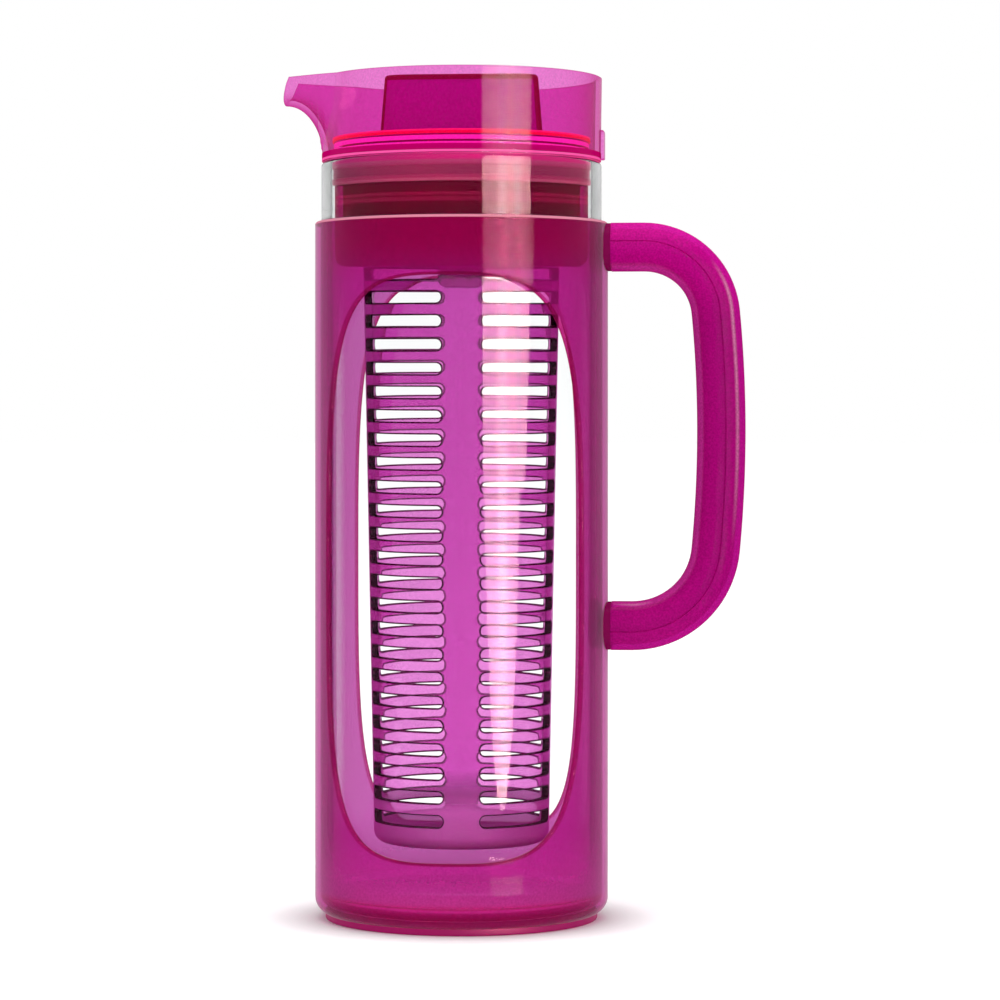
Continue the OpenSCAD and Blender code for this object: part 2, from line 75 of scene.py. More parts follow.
def linear(rgb):
    """A colour as light, from what a screen shows, 0 to 255."""
    c = np.array(rgb) / 255.0
    return np.where(c <= 0.04045, c / 12.92, ((c + 0.055) / 1.055) ** 2.4)


def colour(title, rgb, about):
    """A colour property, from what a screen shows, 0 to 255."""
    light = tuple(float(v) for v in linear(rgb))
    return FloatVectorProperty(
        name=title, description=about, default=light, subtype="COLOR", size=3, min=0, max=1
    )


class PitcherSizes(bpy.types.PropertyGroup):
    """Sizes of the pitcher's dressed surfaces."""

    sleeve_r: length("Sleeve radius", 49.1, "Outer radius of the sleeve")
    sleeve_wall: length("Sleeve wall", 1.8, "Thickness of the sleeve's wall")
    sleeve_z: length("Sleeve foot", 1.7, "Height of the sleeve's underside")
    sleeve_top: length("Sleeve top", 233.0, "Height of the sleeve's top edge")
    sleeve_floor: length("Sleeve floor", 2.6, "Thickness of the sleeve's floor")
    sleeve_corner: length("Sleeve corner", 5.8, "Radius round the sleeve's lower edge")
    window_low: length("Window foot", 23.8, "Height of the window's lower end")
    window_high: length("Window head", 213.5, "Height of the window's upper end")
    window_half: turn("Window half angle", 59.2, "Half of the angle that a window takes out of the wall")
    foot_r: length("Foot radius", 45.6, "Outer radius of the foot ring")
    foot_w: length("Foot width", 5.0, "Radial width of the foot ring")
    foot_h: length("Foot height", 2.5, "Height of the foot ring")
    grip_w: length("Handle thickness", 16.0, "Thickness of the handle, seen from the side")
    grip_depth: length("Handle width", 20.0, "Width of the handle, seen from behind")
    grip_round: length("Handle edge", 6.4, "Radius of the edges along the handle")
    grip_x: length("Handle reach", 87.0, "Distance of the handle's middle line from the axis")
    upper_arm: length("Upper arm", 224.4, "Height of the middle of the upper arm")
    lower_arm: length("Lower arm", 98.0, "Height of the middle of the lower arm")
    upper_bend: length("Upper bend", 24.0, "Radius of the middle line at the upper bend")
    lower_bend: length("Lower bend", 28.0, "Radius of the middle line at the lower bend")
    bow_r: length("Bow radius", 420.0, "Radius of the slow curve between the bends")
    boss_x: length("Pad reach", 50.4, "Distance of the pads' faces from the axis")
    carafe_r: length("Carafe radius", 46.95, "Outer radius of the carafe")
    carafe_bore: length("Carafe bore", 43.35, "Inner radius of the carafe")
    carafe_z: length("Carafe foot", 4.3, "Height of the carafe's underside")
    carafe_top: length("Carafe rim", 252.7, "Height of the carafe's rim")
    lid_z: length("Lid foot", 253.2, "Height of the collar's underside")
    collar_r: length("Collar radius", 46.7, "Outer radius of the collar at its foot")
    collar_wall: length("Collar wall", 2.0, "Thickness of the collar's wall")
    collar_top: length("Collar top", 281.2, "Height of the collar's rim")
    collar_floor: length("Collar floor", 255.95, "Height of the upper side of the collar's floor")
    spout_reach: length("Spout reach", 59.8, "How far the spout's lip reaches out from the axis")
    lip_depth: length("Lip depth", 8.7, "Depth of the spout's lip under the rim")
    plug_r: length("Plug radius", 42.4, "Outer radius of the neck plug")
    plug_bore: length("Plug bore", 39.7, "Inner radius of the neck plug")
    plug_z: length("Plug foot", 216.8, "Height of the plug's underside")
    stopper_r: length("Disc radius", 43.1, "Radius of the stopper's disc")
    disc_z: length("Disc foot", 259.4, "Height of the disc's underside")
    disc_top: length("Disc top", 261.0, "Height of the disc's upper side")
    knob_top: length("Grip top", 282.2, "Height of the grip's top")
    knob_l: length("Grip length", 54.7, "Length of the grip at its foot")
    knob_t: length("Grip thickness", 18.4, "Thickness of the grip at its foot")
    infuser_top: length("Infuser shoulder", 216.5, "Height of the infuser's shoulder")
    infuser_z: length("Infuser foot", 25.7, "Height of the infuser's underside")
    infuser_r: length("Infuser radius", 32.9, "Outer radius of the infuser at its shoulder")
    infuser_low_r: length("Infuser low radius", 29.3, "Outer radius of the infuser at its foot")
    infuser_wall: length("Infuser wall", 2.4, "Thickness of the infuser's wall")
    infuser_turn: turn("Infuser turn", 5.3, "Angle by which the infuser sits turned in the lid")


class PitcherColours(bpy.types.PropertyGroup):
    """Colours of the pitcher, each as white light looks after one wall of that piece."""

    sleeve: colour("Sleeve", (233, 118, 214), "Light through one wall of the sleeve")
    sleeve_rim: colour("Sleeve edge", (180, 50, 138), "Light through the sleeve's wall seen edge on")
    handle: colour("Handle", (226, 40, 190), "Light through one wall of the handle")
    handle_rim: colour("Handle edge", (204, 0, 140), "Light through the handle's wall seen edge on")
    pad: colour("Pads", (150, 14, 92), "The pads that carry the handle")
    collar: colour("Collar", (238, 130, 214), "Light through one wall of the collar")
    collar_rim: colour("Collar edge", (186, 18, 120), "Light through the collar's wall seen edge on")
    plug: colour("Plug", (226, 60, 168), "Light through one wall of the plug and the stopper")
    plug_rim: colour("Plug edge", (196, 0, 80), "Light through the plug's wall seen edge on")
    knob: colour("Grip", (236, 60, 206), "Light through one wall of the grip")
    knob_rim: colour("Grip edge", (240, 0, 205), "Light through the grip's wall seen edge on")
    # Painted light: colours of thin lines that glow or are painted bright on the edges of clear pieces, and
    # the sleeve's painted top highlight.
    flange_line: colour("Flange's lines", (255, 80, 220), "Light that the stopper carries to its flange")
    rim_highlight: colour("Sleeve's top line", (238, 150, 176), "Light on the sleeve's rounded top edge")
    floor_line: colour("Collar's floor", (196, 0, 104), "Light that the collar's floor carries to its edge")
    foot_line: colour("Collar's foot", (255, 92, 178), "Light that the collar carries to its lower edge")
    disc_line: colour("Disc's upper edge", (255, 50, 130), "Light that the disc carries to its upper edge")
    disc_edge: colour("Disc's edge", (240, 0, 76), "Light that the disc carries to its edge")
    infuser: colour("Infuser", (236, 138, 222), "Light through one wall of the infuser")
    infuser_rim: colour("Infuser edge", (172, 44, 134), "Light through the infuser's wall seen edge on")
    carafe: colour("Carafe", (251, 252, 252), "Light through one wall of the carafe")
    carafe_rim: colour("Carafe edge", (150, 151, 152), "Light through the carafe's wall seen edge on")
    gasket: colour("Gasket", (196, 62, 116), "The soft gasket")
    foot: colour("Foot ring", (184, 24, 112), "The foot ring")
    floor: colour("Floor", (240, 240, 240), "The studio floor")


def sizes():
    """Every size in millimetres, and every angle in radians."""
    group = bpy.context.scene.pitcher_sizes
    found = {}
    for name, prop in PitcherSizes.bl_rna.properties.items():
        if prop.type == "FLOAT":
            value = getattr(group, name)
            found[name] = value if prop.subtype == "ANGLE" else value / MM
    return SimpleNamespace(**found)


def colours():
    """The colour group of the scene."""
    return bpy.context.scene.pitcher_colours


# Shapes


def soft(value, power):
    """A cosine or sine drawn towards a box: its sign times its size to the power 2 / power."""
    return np.sign(value) * np.abs(value) ** (2.0 / power)


def rounded(corners, steps=6, closed=False):
    """A line through corners (r, z, radius), each rounded by an arc of that radius between its two sides."""
    pts = np.array([c[:2] for c in corners], float)
    out = []
    count = len(corners)
    for i, (_, _, radius) in enumerate(corners):
        p = pts[i]
        if radius <= 0 or (not closed and i in (0, count - 1)):
            out.append(p[None])
            continue
        a = pts[i - 1] - p
        b = pts[(i + 1) % count] - p
        a, b = a / np.linalg.norm(a), b / np.linalg.norm(b)
        half = math.acos(max(-1.0, min(1.0, float(a @ b)))) / 2
        mid = (a + b) / np.linalg.norm(a + b)
        centre = p + mid * radius / math.sin(half)
        start = p + a * radius / math.tan(half) - centre
        end = p + b * radius / math.tan(half) - centre
        t0 = math.atan2(start[1], start[0])
        sweep = (math.atan2(end[1], end[0]) - t0 + math.pi) % (2 * math.pi) - math.pi
        t = t0 + sweep * np.linspace(0, 1, steps + 1)
        out.append(centre + radius * np.stack([np.cos(t), np.sin(t)], 1))
    return np.concatenate(out)


def panel(half, low, high, low_round, high_round, steps):
    """A closed box outline (u, v), half wide on each side of 0, with its lower and upper corners rounded."""
    return rounded([
        (-half, low, low_round), (half, low, low_round), (half, high, high_round), (-half, high, high_round),
    ], steps, closed=True)


def arc_line(u, v, r, start, end, count):
    """Points (u, v) of an arc between two angles in degrees."""
    t = np.radians(np.linspace(start, end, count))
    return np.stack([u + r * np.cos(t), v + r * np.sin(t)], 1)


def full_turn(count=TURN):
    """Evenly spaced angles round the axis, without the last, which is the first again."""
    return np.linspace(0, 2 * np.pi, count, endpoint=False)


def polar(r, angle, z):
    """Points round the axis: x is r times cos of the angle, y is r times its sin, and z stays."""
    return np.stack(np.broadcast_arrays(r * np.cos(angle), r * np.sin(angle), z), -1)


def turned(profile, angles):
    """Points of a profile (r, z) turned to each angle, a row of points for each."""
    r, z = np.asarray(profile, float).T
    return polar(r, np.asarray(angles)[:, None], z)


def ported(line, middle, sill):
    """A closed section turned all the way round, and held down to the sill across a port at an angle."""
    half = math.radians(28)
    cut = turned(line, np.linspace(middle - half, middle + half, 31))
    cut[..., 2] = np.minimum(cut[..., 2], sill)
    whole = turned(line, np.linspace(middle + half, middle + 2 * np.pi - half, 161))
    return np.concatenate([cut, whole]), True, True


def on_wall(middle, radius, arc_radius, way=1):
    """A map onto a round wall: u is arc from the angle middle, v height, and d depth out, or in by way -1."""

    def place(u, v, d):
        """The angle is middle + u / arc radius, the distance is radius + way times d."""
        return polar(radius + way * d, middle + u / arc_radius, v)

    return place


def box_rays(count, half_u, half_v):
    """Angles of a full turn, and where each ray meets a box: cos and sin over the larger, times half sides."""
    t = full_turn(count)
    c, n = np.cos(t), np.sin(t)
    k = 1 / np.maximum(np.abs(c), np.abs(n))
    return t, np.stack([half_u * c * k, half_v * n * k], 1)


def strips(shape, first, around, along):
    """Four-cornered faces of a grid of points; around and along say which way it closes on itself."""
    rows, cols = shape
    i = np.arange(rows if around else rows - 1)
    j = np.arange(cols if along else cols - 1)
    i, j = np.meshgrid(i, j, indexing="ij")
    ahead, beside = (i + 1) % rows, (j + 1) % cols
    corners = [i * cols + j, ahead * cols + j, ahead * cols + beside, i * cols + beside]
    return first + np.stack(corners, -1).reshape(-1, 4)


def piece(name, body, material, grids, crease=38.0):
    """A closed mesh from grids of points in millimetres, welded, turned outwards, and creased by angle.

    A grid is (points, closes around, closes along), and may have a fourth entry, how strongly each of
    its rows, or each of its points, is painted with the attribute cut.
    """
    points, faces, paint, first = [], [], [], 0
    for grid, around, along, *rows in grids:
        grid = np.asarray(grid, float)
        points.append(grid.reshape(-1, 3))
        strength = rows[0] if rows else np.zeros(len(grid))
        paint.append(np.broadcast_to(np.reshape(strength, (len(grid), -1)), grid.shape[:2]).ravel())
        faces.append(strips(grid.shape[:2], first, around, along))
        first += len(points[-1])
    mesh = bpy.data.meshes.new(name)
    mesh.from_pydata(np.concatenate(points) * MM, [], np.concatenate(faces).tolist())
    if any(len(grid) > 3 for grid in grids):
        layer = mesh.attributes.new("cut", "FLOAT", "POINT")
        layer.data.foreach_set("value", np.concatenate(paint).astype(np.float32))
    work = bmesh.new()
    work.from_mesh(mesh)
    bmesh.ops.remove_doubles(work, verts=work.verts, dist=WELD)
    bmesh.ops.dissolve_degenerate(work, edges=work.edges, dist=WELD)
    bmesh.ops.recalc_face_normals(work, faces=work.faces)
    limit = math.radians(crease)
    for face in work.faces:
        face.smooth = True
    for edge in work.edges:
        edge.smooth = len(edge.link_faces) == 2 and edge.calc_face_angle(0.0) < limit
    work.to_mesh(mesh)
    work.free()
    mesh.materials.append(material)
    obj = bpy.data.objects.new(name, mesh)
    bpy.context.scene.collection.objects.link(obj)
    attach(obj, body)
    return obj


def pierced(outline, border, place, depth, lip, rows, edge, band=0.0):
    """A plate with a hole, as one grid: its face from border to hole, the hole's rounded wall, and its back.

    outline and border are (n, 2) points that pair up, in millimetres on the face; place maps (u, v, d)
    to space, where d runs from 0 on the face to depth on the back; lip is how far the wall bulges.
    With a band, a narrow strip of that width is kept round the hole, and the rows that belong to the
    hole's edge are painted, full over the inner four fifths of the strip.
    """
    ahead, behind = np.roll(outline, -1, 0), np.roll(outline, 1, 0)
    along = ahead - behind
    out = np.stack([along[:, 1], -along[:, 0]], 1)
    out /= np.linalg.norm(out, axis=1)[:, None]
    centre = outline.mean(0)
    out *= np.sign(((outline - centre) * out).sum(1).mean())
    base = outline + out * lip
    share = np.linspace(1, 0, rows + 1)[:, None, None]
    face = base + (border - base) * share
    if band > 0:
        strip = [base + out * band, base + out * band * 0.8]
        face = np.concatenate([face[:-1], strip, face[-1:]])
    t = np.linspace(0, np.pi, edge + 1)[1:-1]
    wall = base - out * lip * np.sin(t)[:, None, None]
    flat = np.concatenate([face, wall, face[::-1]])
    d = np.concatenate([np.zeros(len(face)), depth * (1 - np.cos(t)) / 2, np.full(len(face), depth)])
    points = place(flat[..., 0], flat[..., 1], np.broadcast_to(d[:, None], flat.shape[:2]))
    if band <= 0:
        return points, False, True
    paint = np.zeros(len(points))
    paint[rows + 1 : len(points) - rows - 1] = 1.0
    return points, False, True, paint


def raised(outline, place, height):
    """A block on a face: the outline (u, v) carried out to a height, with a softened upper edge.

    Each ring is the outline drawn in towards its middle by a share, at a depth out of the face.
    """
    soften = 0.3
    centre = outline.mean(0)
    upper = 1 - soften / np.abs(outline - centre).max()
    shares = np.array([0, 0.5, 1, 1, upper, 0.5, 0])
    depths = np.array([0, 0, 0, height - soften, height, height, height])
    flat = centre + (outline - centre) * shares[:, None, None]
    return place(flat[..., 0], flat[..., 1], np.broadcast_to(depths[:, None], flat.shape[:2])), False, True


# Finishes

# Scales of the noise on clear plastic and on soft rings, in waves per metre
TINT_CLOUDS, COVER_CLOUDS, SHINE_CLOUDS, GRAIN = 14.0, 9.0, 60.0, 1500.0
RING_CLOUDS, RING_SHINE = 90.0, 220.0
# How rough the gloss and the scattered light are
SHINE_ROUGH, RING_ROUGH, SCATTER_ROUGH = (0.016, 0.03), (0.38, 0.52), 0.6
# Facing, 0 face on and 1 edge on, at which the gloss starts to fade, and at which it is gone
GLOSS_FADE = (0.3, 0.7)
# Facing at which a crisp wall starts to reflect, and does so fully, and how much later its front does
SLANT, FRONT_LATER = (0.22, 0.34), 0.33
# The pale light that a wall throws back edge on, and the power of facing that it grows with
VEIL, VEIL_POWER = (0.82, 0.72, 0.76), 5.5


def shader(name):
    """An empty material and its output."""
    mat = bpy.data.materials.new(name)
    mat.use_nodes = True
    tree = mat.node_tree
    tree.nodes.clear()
    return mat, tree, tree.nodes.new("ShaderNodeOutputMaterial")


def own_point(tree):
    """The point in the piece's own coordinates."""
    return tree.nodes.new("ShaderNodeTexCoord").outputs["Object"]


def own_axes(tree):
    """The point in the piece's own coordinates, as its X, Y and Z."""
    split = tree.nodes.new("ShaderNodeSeparateXYZ")
    tree.links.new(own_point(tree), split.inputs[0])
    return split.outputs


def noise(tree, scale, detail=2.0):
    """Noise on the piece's own coordinates."""
    node = tree.nodes.new("ShaderNodeTexNoise")
    node.inputs["Scale"].default_value = scale
    node.inputs["Detail"].default_value = detail
    tree.links.new(own_point(tree), node.inputs["Vector"])
    return node.outputs["Fac"]


def ranged(tree, value, low, high, start=0.0, end=1.0):
    """A value from start to end spread between low and high."""
    node = tree.nodes.new("ShaderNodeMapRange")
    node.inputs["From Min"].default_value = start
    node.inputs["From Max"].default_value = end
    node.inputs["To Min"].default_value = low
    node.inputs["To Max"].default_value = high
    tree.links.new(value, node.inputs["Value"])
    return node.outputs["Result"]


def blended(tree, factor, first, second):
    """A colour between two, by a factor."""
    node = tree.nodes.new("ShaderNodeMix")
    node.data_type = "RGBA"
    tree.links.new(factor, node.inputs["Factor"])
    for socket, value in ((node.inputs[6], first), (node.inputs[7], second)):
        if isinstance(value, bpy.types.NodeSocket):
            tree.links.new(value, socket)
        else:
            socket.default_value = (*value, 1.0)
    return node.outputs[2]


def joined(tree, factor, first, second):
    """A shader between two, by a factor that is a number or a socket."""
    node = tree.nodes.new("ShaderNodeMixShader")
    if isinstance(factor, bpy.types.NodeSocket):
        tree.links.new(factor, node.inputs[0])
    else:
        node.inputs[0].default_value = factor
    tree.links.new(first, node.inputs[1])
    tree.links.new(second, node.inputs[2])
    return node.outputs[0]


def combined(tree, kind, first, second):
    """A number from two by a Math node; each may be a number or a socket."""
    node = tree.nodes.new("ShaderNodeMath")
    node.operation = kind
    for socket, value in zip(node.inputs, (first, second)):
        if isinstance(value, bpy.types.NodeSocket):
            tree.links.new(value, socket)
        else:
            socket.default_value = value
    return node.outputs[0]


def banded(tree, stops, straight=False):
    """A colour by height on the piece: stops are (height in millimetres, colour), blended between.

    straight takes the colours as plain shares of 255.
    """
    heights = [z * MM for z, _ in stops]
    ramp = tree.nodes.new("ShaderNodeValToRGB")
    tree.links.new(ranged(tree, own_axes(tree)["Z"], 0.0, 1.0, heights[0], heights[-1]), ramp.inputs[0])
    marks = ramp.color_ramp.elements
    while len(marks) < len(stops):
        marks.new(0.5)
    for mark, height, (_, tint) in zip(marks, heights, stops):
        mark.position = (height - heights[0]) / (heights[-1] - heights[0])
        mark.color = (*(np.array(tint) / 255.0 if straight else linear(tint)), 1.0)
    return ramp.outputs[0]


def grained(tree, tint, depth):
    """A colour made darker and lighter by depth, in grains of about half a millimetre."""
    node = tree.nodes.new("ShaderNodeHueSaturation")
    grain = noise(tree, GRAIN, 1.0)
    tree.links.new(ranged(tree, grain, 1 - depth, 1 + depth, 0.3, 0.7), node.inputs["Value"])
    tree.links.new(tint, node.inputs["Color"])
    return node.outputs["Color"]


def outward(tree):
    """1 on faces that look away from the piece's upright axis, 0 on those that look towards it."""
    coord = tree.nodes.new("ShaderNodeTexCoord")
    dot = tree.nodes.new("ShaderNodeVectorMath")
    dot.operation = "DOT_PRODUCT"
    tree.links.new(coord.outputs["Object"], dot.inputs[0])
    tree.links.new(coord.outputs["Normal"], dot.inputs[1])
    return combined(tree, "GREATER_THAN", dot.outputs["Value"], 0.0)


def passing(tree, tint, bend, crisp, facing, back):
    """Light let through in a tint: straight on, or bent by the index bend.

    A crisp wall only bends light where it is seen face on, and also reflects where it is seen at a slant.
    """
    ways = []
    for kind in ("Transparent",) if not bend else ("Refraction", "Glass") if crisp else ("Glass",):
        node = tree.nodes.new("ShaderNodeBsdf" + kind)
        if bend:
            node.inputs["IOR"].default_value = bend
            node.inputs["Roughness"].default_value = 0.0
        tree.links.new(tint, node.inputs["Color"])
        ways.append(node.outputs[0])
    if not crisp:
        return ways[0]
    slant = combined(tree, "ADD", facing, ranged(tree, back, -FRONT_LATER, 0.0))
    return joined(tree, ranged(tree, slant, 0.0, 1.0, *SLANT), *ways)


def scattered(tree, tint, glow):
    """Light thrown about in a tint, and given off in it by the share glow."""
    node = tree.nodes.new("ShaderNodeBsdfPrincipled")
    for socket in ("Base Color", "Emission Color"):
        tree.links.new(tint, node.inputs[socket])
    node.inputs["Emission Strength"].default_value = glow
    node.inputs["Specular IOR Level"].default_value = 0.0
    node.inputs["Roughness"].default_value = SCATTER_ROUGH
    return node.outputs[0]


def clear_plastic(name, wall, rim, body=0.08, gloss=1.085, rim_power=3.0, bend=0.0, crisp=False, mark=None,
                  deep=None, bands=None, milky=None, veil=0.0, glow=0.0, grain=0.0):
    """Tinted clear plastic: each face lets the root of the wall's tint through, deeper towards its rim.

    body is the share that scatters light, in the rim's colour or in bands by height. gloss is the index
    that the front's reflections follow. rim_power is how late the tint deepens. bend is the index of
    refraction, or 0 for none; crisp keeps reflections out of what is seen face on. mark makes the mask
    where the tint goes to deep. milky is (foot, full, full, head, share): heights in millimetres between
    which more of the light is scattered, and how much more. veil is the share of pale light that the face
    throws back where it is seen edge on. glow is the light that a bright edge gives off, having carried it
    inside, as a share of its colour. grain is how much the fine grain of the plastic darkens and lightens
    what it scatters, and half as much what it passes.
    """
    if (found := bpy.data.materials.get(name)) is not None:
        return found
    mat, tree, out = shader(name)
    solid = tuple(rim[:3])
    wall, rim = np.array(wall[:3]) ** 0.5, np.array(rim[:3]) ** 0.5
    weight = tree.nodes.new("ShaderNodeLayerWeight")
    weight.inputs["Blend"].default_value = 0.5
    facing = weight.outputs["Facing"]
    back = tree.nodes.new("ShaderNodeNewGeometry").outputs["Backfacing"]
    lean = combined(tree, "POWER", facing, rim_power)
    tint = blended(tree, lean, wall, rim)
    tint = blended(tree, ranged(tree, noise(tree, TINT_CLOUDS), 0.0, 0.08), tint, tuple(wall * 0.86))
    cover = banded(tree, bands) if bands else solid
    darker = tuple(np.array(solid) * 0.8)
    cover = blended(tree, ranged(tree, noise(tree, COVER_CLOUDS), 0.0, 0.1), cover, darker)
    if veil:
        cover = blended(tree, lean, cover, solid)
    if mark is not None:
        mask = mark(tree)
        tint = blended(tree, mask, tint, tuple(np.array(deep) ** 0.5))
        cover = blended(tree, mask, cover, deep)
    if grain:
        tint, cover = grained(tree, tint, grain / 2), grained(tree, cover, grain)
    if milky is not None:
        *heights, more = milky
        tone = [body, body + more, body + more, body]
        body = banded(tree, [(z, np.full(3, t * 255)) for z, t in zip(heights, tone)], straight=True)
    mixed = joined(tree, body, passing(tree, tint, bend, crisp, facing, back), scattered(tree, cover, glow))
    shine = tree.nodes.new("ShaderNodeBsdfGlossy")
    tree.links.new(ranged(tree, noise(tree, SHINE_CLOUDS), *SHINE_ROUGH), shine.inputs["Roughness"])
    fresnel = tree.nodes.new("ShaderNodeFresnel")
    fresnel.inputs["IOR"].default_value = gloss
    front = combined(tree, "MULTIPLY", ranged(tree, back, 1.0, 0.0), fresnel.outputs[0])
    front = combined(tree, "MULTIPLY", front, ranged(tree, facing, 1.0, 0.0, *GLOSS_FADE))
    mixed = joined(tree, front, mixed, shine.outputs[0])
    if veil:
        pale = tree.nodes.new("ShaderNodeBsdfDiffuse")
        pale.inputs["Color"].default_value = (*VEIL, 1.0)
        share = combined(tree, "MULTIPLY", combined(tree, "POWER", facing, VEIL_POWER), veil)
        mixed = joined(tree, combined(tree, "MULTIPLY", share, outward(tree)), mixed, pale.outputs[0])
    tree.links.new(mixed, out.inputs["Surface"])
    return mat


def soft_ring(name, tint, clear, bands=None):
    """Soft translucent ring: satin, cloudy, and partly clear, in one colour or in bands by height."""
    if (found := bpy.data.materials.get(name)) is not None:
        return found
    mat, tree, out = shader(name)
    tint = np.array(tint[:3])
    base = tree.nodes.new("ShaderNodeBsdfPrincipled")
    cover = banded(tree, bands) if bands else tint
    cover = blended(tree, ranged(tree, noise(tree, RING_CLOUDS, 4.0), 0.0, 0.3), cover, tint * 0.8)
    tree.links.new(cover, base.inputs["Base Color"])
    base.inputs["Specular IOR Level"].default_value = 0.1
    tree.links.new(ranged(tree, noise(tree, RING_SHINE), *RING_ROUGH), base.inputs["Roughness"])
    passed = tree.nodes.new("ShaderNodeBsdfTransparent")
    passed.inputs["Color"].default_value = (*(tint**0.5), 1.0)
    tree.links.new(joined(tree, clear, base.outputs[0], passed.outputs[0]), out.inputs["Surface"])
    return mat


def painted(tree):
    """The mask painted on a piece's points as the attribute cut."""
    node = tree.nodes.new("ShaderNodeAttribute")
    node.attribute_name = "cut"
    return node.outputs["Fac"]


def grip_edge_shade(tree):
    """1 within a wall's thickness of the grip's ends and top, where its side walls are seen edge on.

    An end is where the reach along the grip plus its taper up to that height passes a limit.
    """
    s = sizes()
    end_wall, roof_wall, above_disc = 1.5, 1.9, 0.3
    axes = own_axes(tree)
    x, z = combined(tree, "ABSOLUTE", axes["X"], 0.0), axes["Z"]
    lean = KNOB_TAPER / (s.knob_top - s.disc_top)
    reach = combined(tree, "ADD", x, combined(tree, "MULTIPLY", z, lean))
    limit = (s.knob_l / 2 - end_wall + s.disc_top * lean) * MM
    ends = combined(tree, "GREATER_THAN", reach, limit)
    roof = combined(tree, "GREATER_THAN", z, (s.knob_top - roof_wall) * MM)
    high = combined(tree, "GREATER_THAN", z, (s.disc_top + above_disc) * MM)
    return combined(tree, "MULTIPLY", combined(tree, "MAXIMUM", ends, roof), high)


# Bands of colour by height: (millimetres, what a screen shows)

# Painted highlights: lighter over the lower arm and in a bright band along the upper arm, deeper over the bow
# between.
HANDLE_HIGHLIGHT_BANDS = (
    (90.0, (210, 24, 150)), (112.0, (198, 15, 142)), (135.0, (192, 13, 136)), (200.0, (194, 13, 138)),
    (212.0, (214, 14, 152)), (222.0, (220, 14, 158)), (234.0, (246, 44, 184)),
)
# Painted glow: bright from 9 to 20 mm, over the foot; redder below it and deeper above the windows.
SLEEVE_GLOW_BANDS = (
    (1.0, (235, 24, 112)), (3.0, (230, 10, 108)), (6.0, (226, 30, 118)), (7.5, (235, 30, 140)),
    (9.0, (255, 60, 150)), (10.5, (252, 84, 196)), (14.0, (250, 80, 196)), (20.0, (240, 64, 184)),
    (34.0, (208, 34, 150)), (212.0, (204, 30, 144)), (224.0, (214, 0, 108)), (233.0, (212, 0, 104)),
)
INFUSER_BANDS = (
    (25.0, (250, 110, 222)), (39.0, (250, 110, 222)), (46.0, (172, 44, 134)), (240.0, (172, 44, 134)),
)
# Painted highlights and painted shade: bright and dark lines by height on the plug's steps and the stopper's
# flange.
PLUG_HIGHLIGHT_BANDS = (
    (216.0, (158, 0, 106)), (230.0, (152, 0, 92)), (234.5, (120, 0, 46)), (237.4, (128, 0, 50)),
    (237.8, (186, 0, 84)), (238.8, (180, 0, 80)), (239.2, (120, 0, 46)), (239.7, (190, 0, 84)),
    (240.3, (190, 0, 84)), (240.7, (126, 0, 48)), (256.0, (130, 0, 60)), (256.15, (255, 40, 190)),
    (256.7, (255, 40, 190)), (256.9, (190, 0, 110)), (257.3, (200, 0, 130)), (257.6, (255, 60, 200)),
    (258.6, (255, 30, 160)), (259.3, (220, 0, 90)),
)
# Painted highlights and painted shade: lighter over the two sealing ribs and brightest at the flange, darker
# along the waist.
GASKET_HIGHLIGHT_BANDS = (
    (243.9, (214, 84, 134)), (244.8, (214, 84, 134)), (245.1, (190, 44, 104)), (246.0, (196, 50, 112)),
    (246.4, (166, 42, 98)), (249.0, (168, 42, 98)), (249.5, (194, 52, 118)), (250.6, (204, 74, 138)),
    (251.2, (240, 30, 150)), (252.6, (255, 20, 160)), (253.2, (255, 90, 180)),
)


def sleeve_finish():
    """The sleeve's plastic: clouded, with a milky foot and a deep line along the windows' edges."""
    c = colours()
    return clear_plastic("sleeve plastic", c.sleeve, c.sleeve_rim, body=0.24, rim_power=1.7, veil=0.7,
                         grain=0.12, bands=SLEEVE_GLOW_BANDS, milky=(6.5, 10.0, 14.0, 30.0, 0.12), mark=painted,
                         deep=(0.48, 0.012, 0.16))


def handle_finish():
    """The handle's plastic: the deepest tint, with pale streaks where it is painted."""
    c = colours()
    return clear_plastic("handle plastic", c.handle, c.handle_rim, body=0.62, gloss=1.03, grain=0.2,
                         bands=HANDLE_HIGHLIGHT_BANDS, mark=painted, deep=(1.0, 0.42, 0.66))


def collar_finish():
    """The collar's plastic: the clearest of the tinted ones."""
    c = colours()
    return clear_plastic("collar plastic", c.collar, c.collar_rim, body=0.05, gloss=1.12, veil=0.5, grain=0.1)


def plug_finish():
    """The plug's and the stopper's plastic."""
    c = colours()
    return clear_plastic("plug plastic", c.plug, c.plug_rim, body=0.42, grain=0.2, bands=PLUG_HIGHLIGHT_BANDS)


def knob_finish():
    """The grip's plastic: deep where its side walls are seen edge on."""
    c = colours()
    return clear_plastic("grip plastic", c.knob, c.knob_rim, body=0.5, gloss=1.06, grain=0.2,
                         mark=grip_edge_shade, deep=(0.4, 0.0, 0.055))


def infuser_finish():
    """The infuser's plastic: it bends light, is milky at the foot, and is deep along the slots' edges."""
    c = colours()
    return clear_plastic("infuser plastic", c.infuser, c.infuser_rim, body=0.08, grain=0.08, rim_power=4.0,
                         bend=1.5, bands=INFUSER_BANDS, milky=(24.5, 26.0, 38.0, 46.0, 0.42), mark=painted,
                         deep=(0.1, 0.005, 0.05))


def carafe_finish():
    """The carafe's plastic: without a tint, and bending light."""
    c = colours()
    return clear_plastic("carafe plastic", c.carafe, c.carafe_rim, body=0.0, gloss=1.19, rim_power=5.0,
                         bend=1.5, crisp=True)


def edge_finish(name, tint, glow=0.0):
    """The bright line that light carried inside a clear disc makes at its edge."""
    return clear_plastic(name, tint, tint, body=0.85, glow=glow)


# Rings


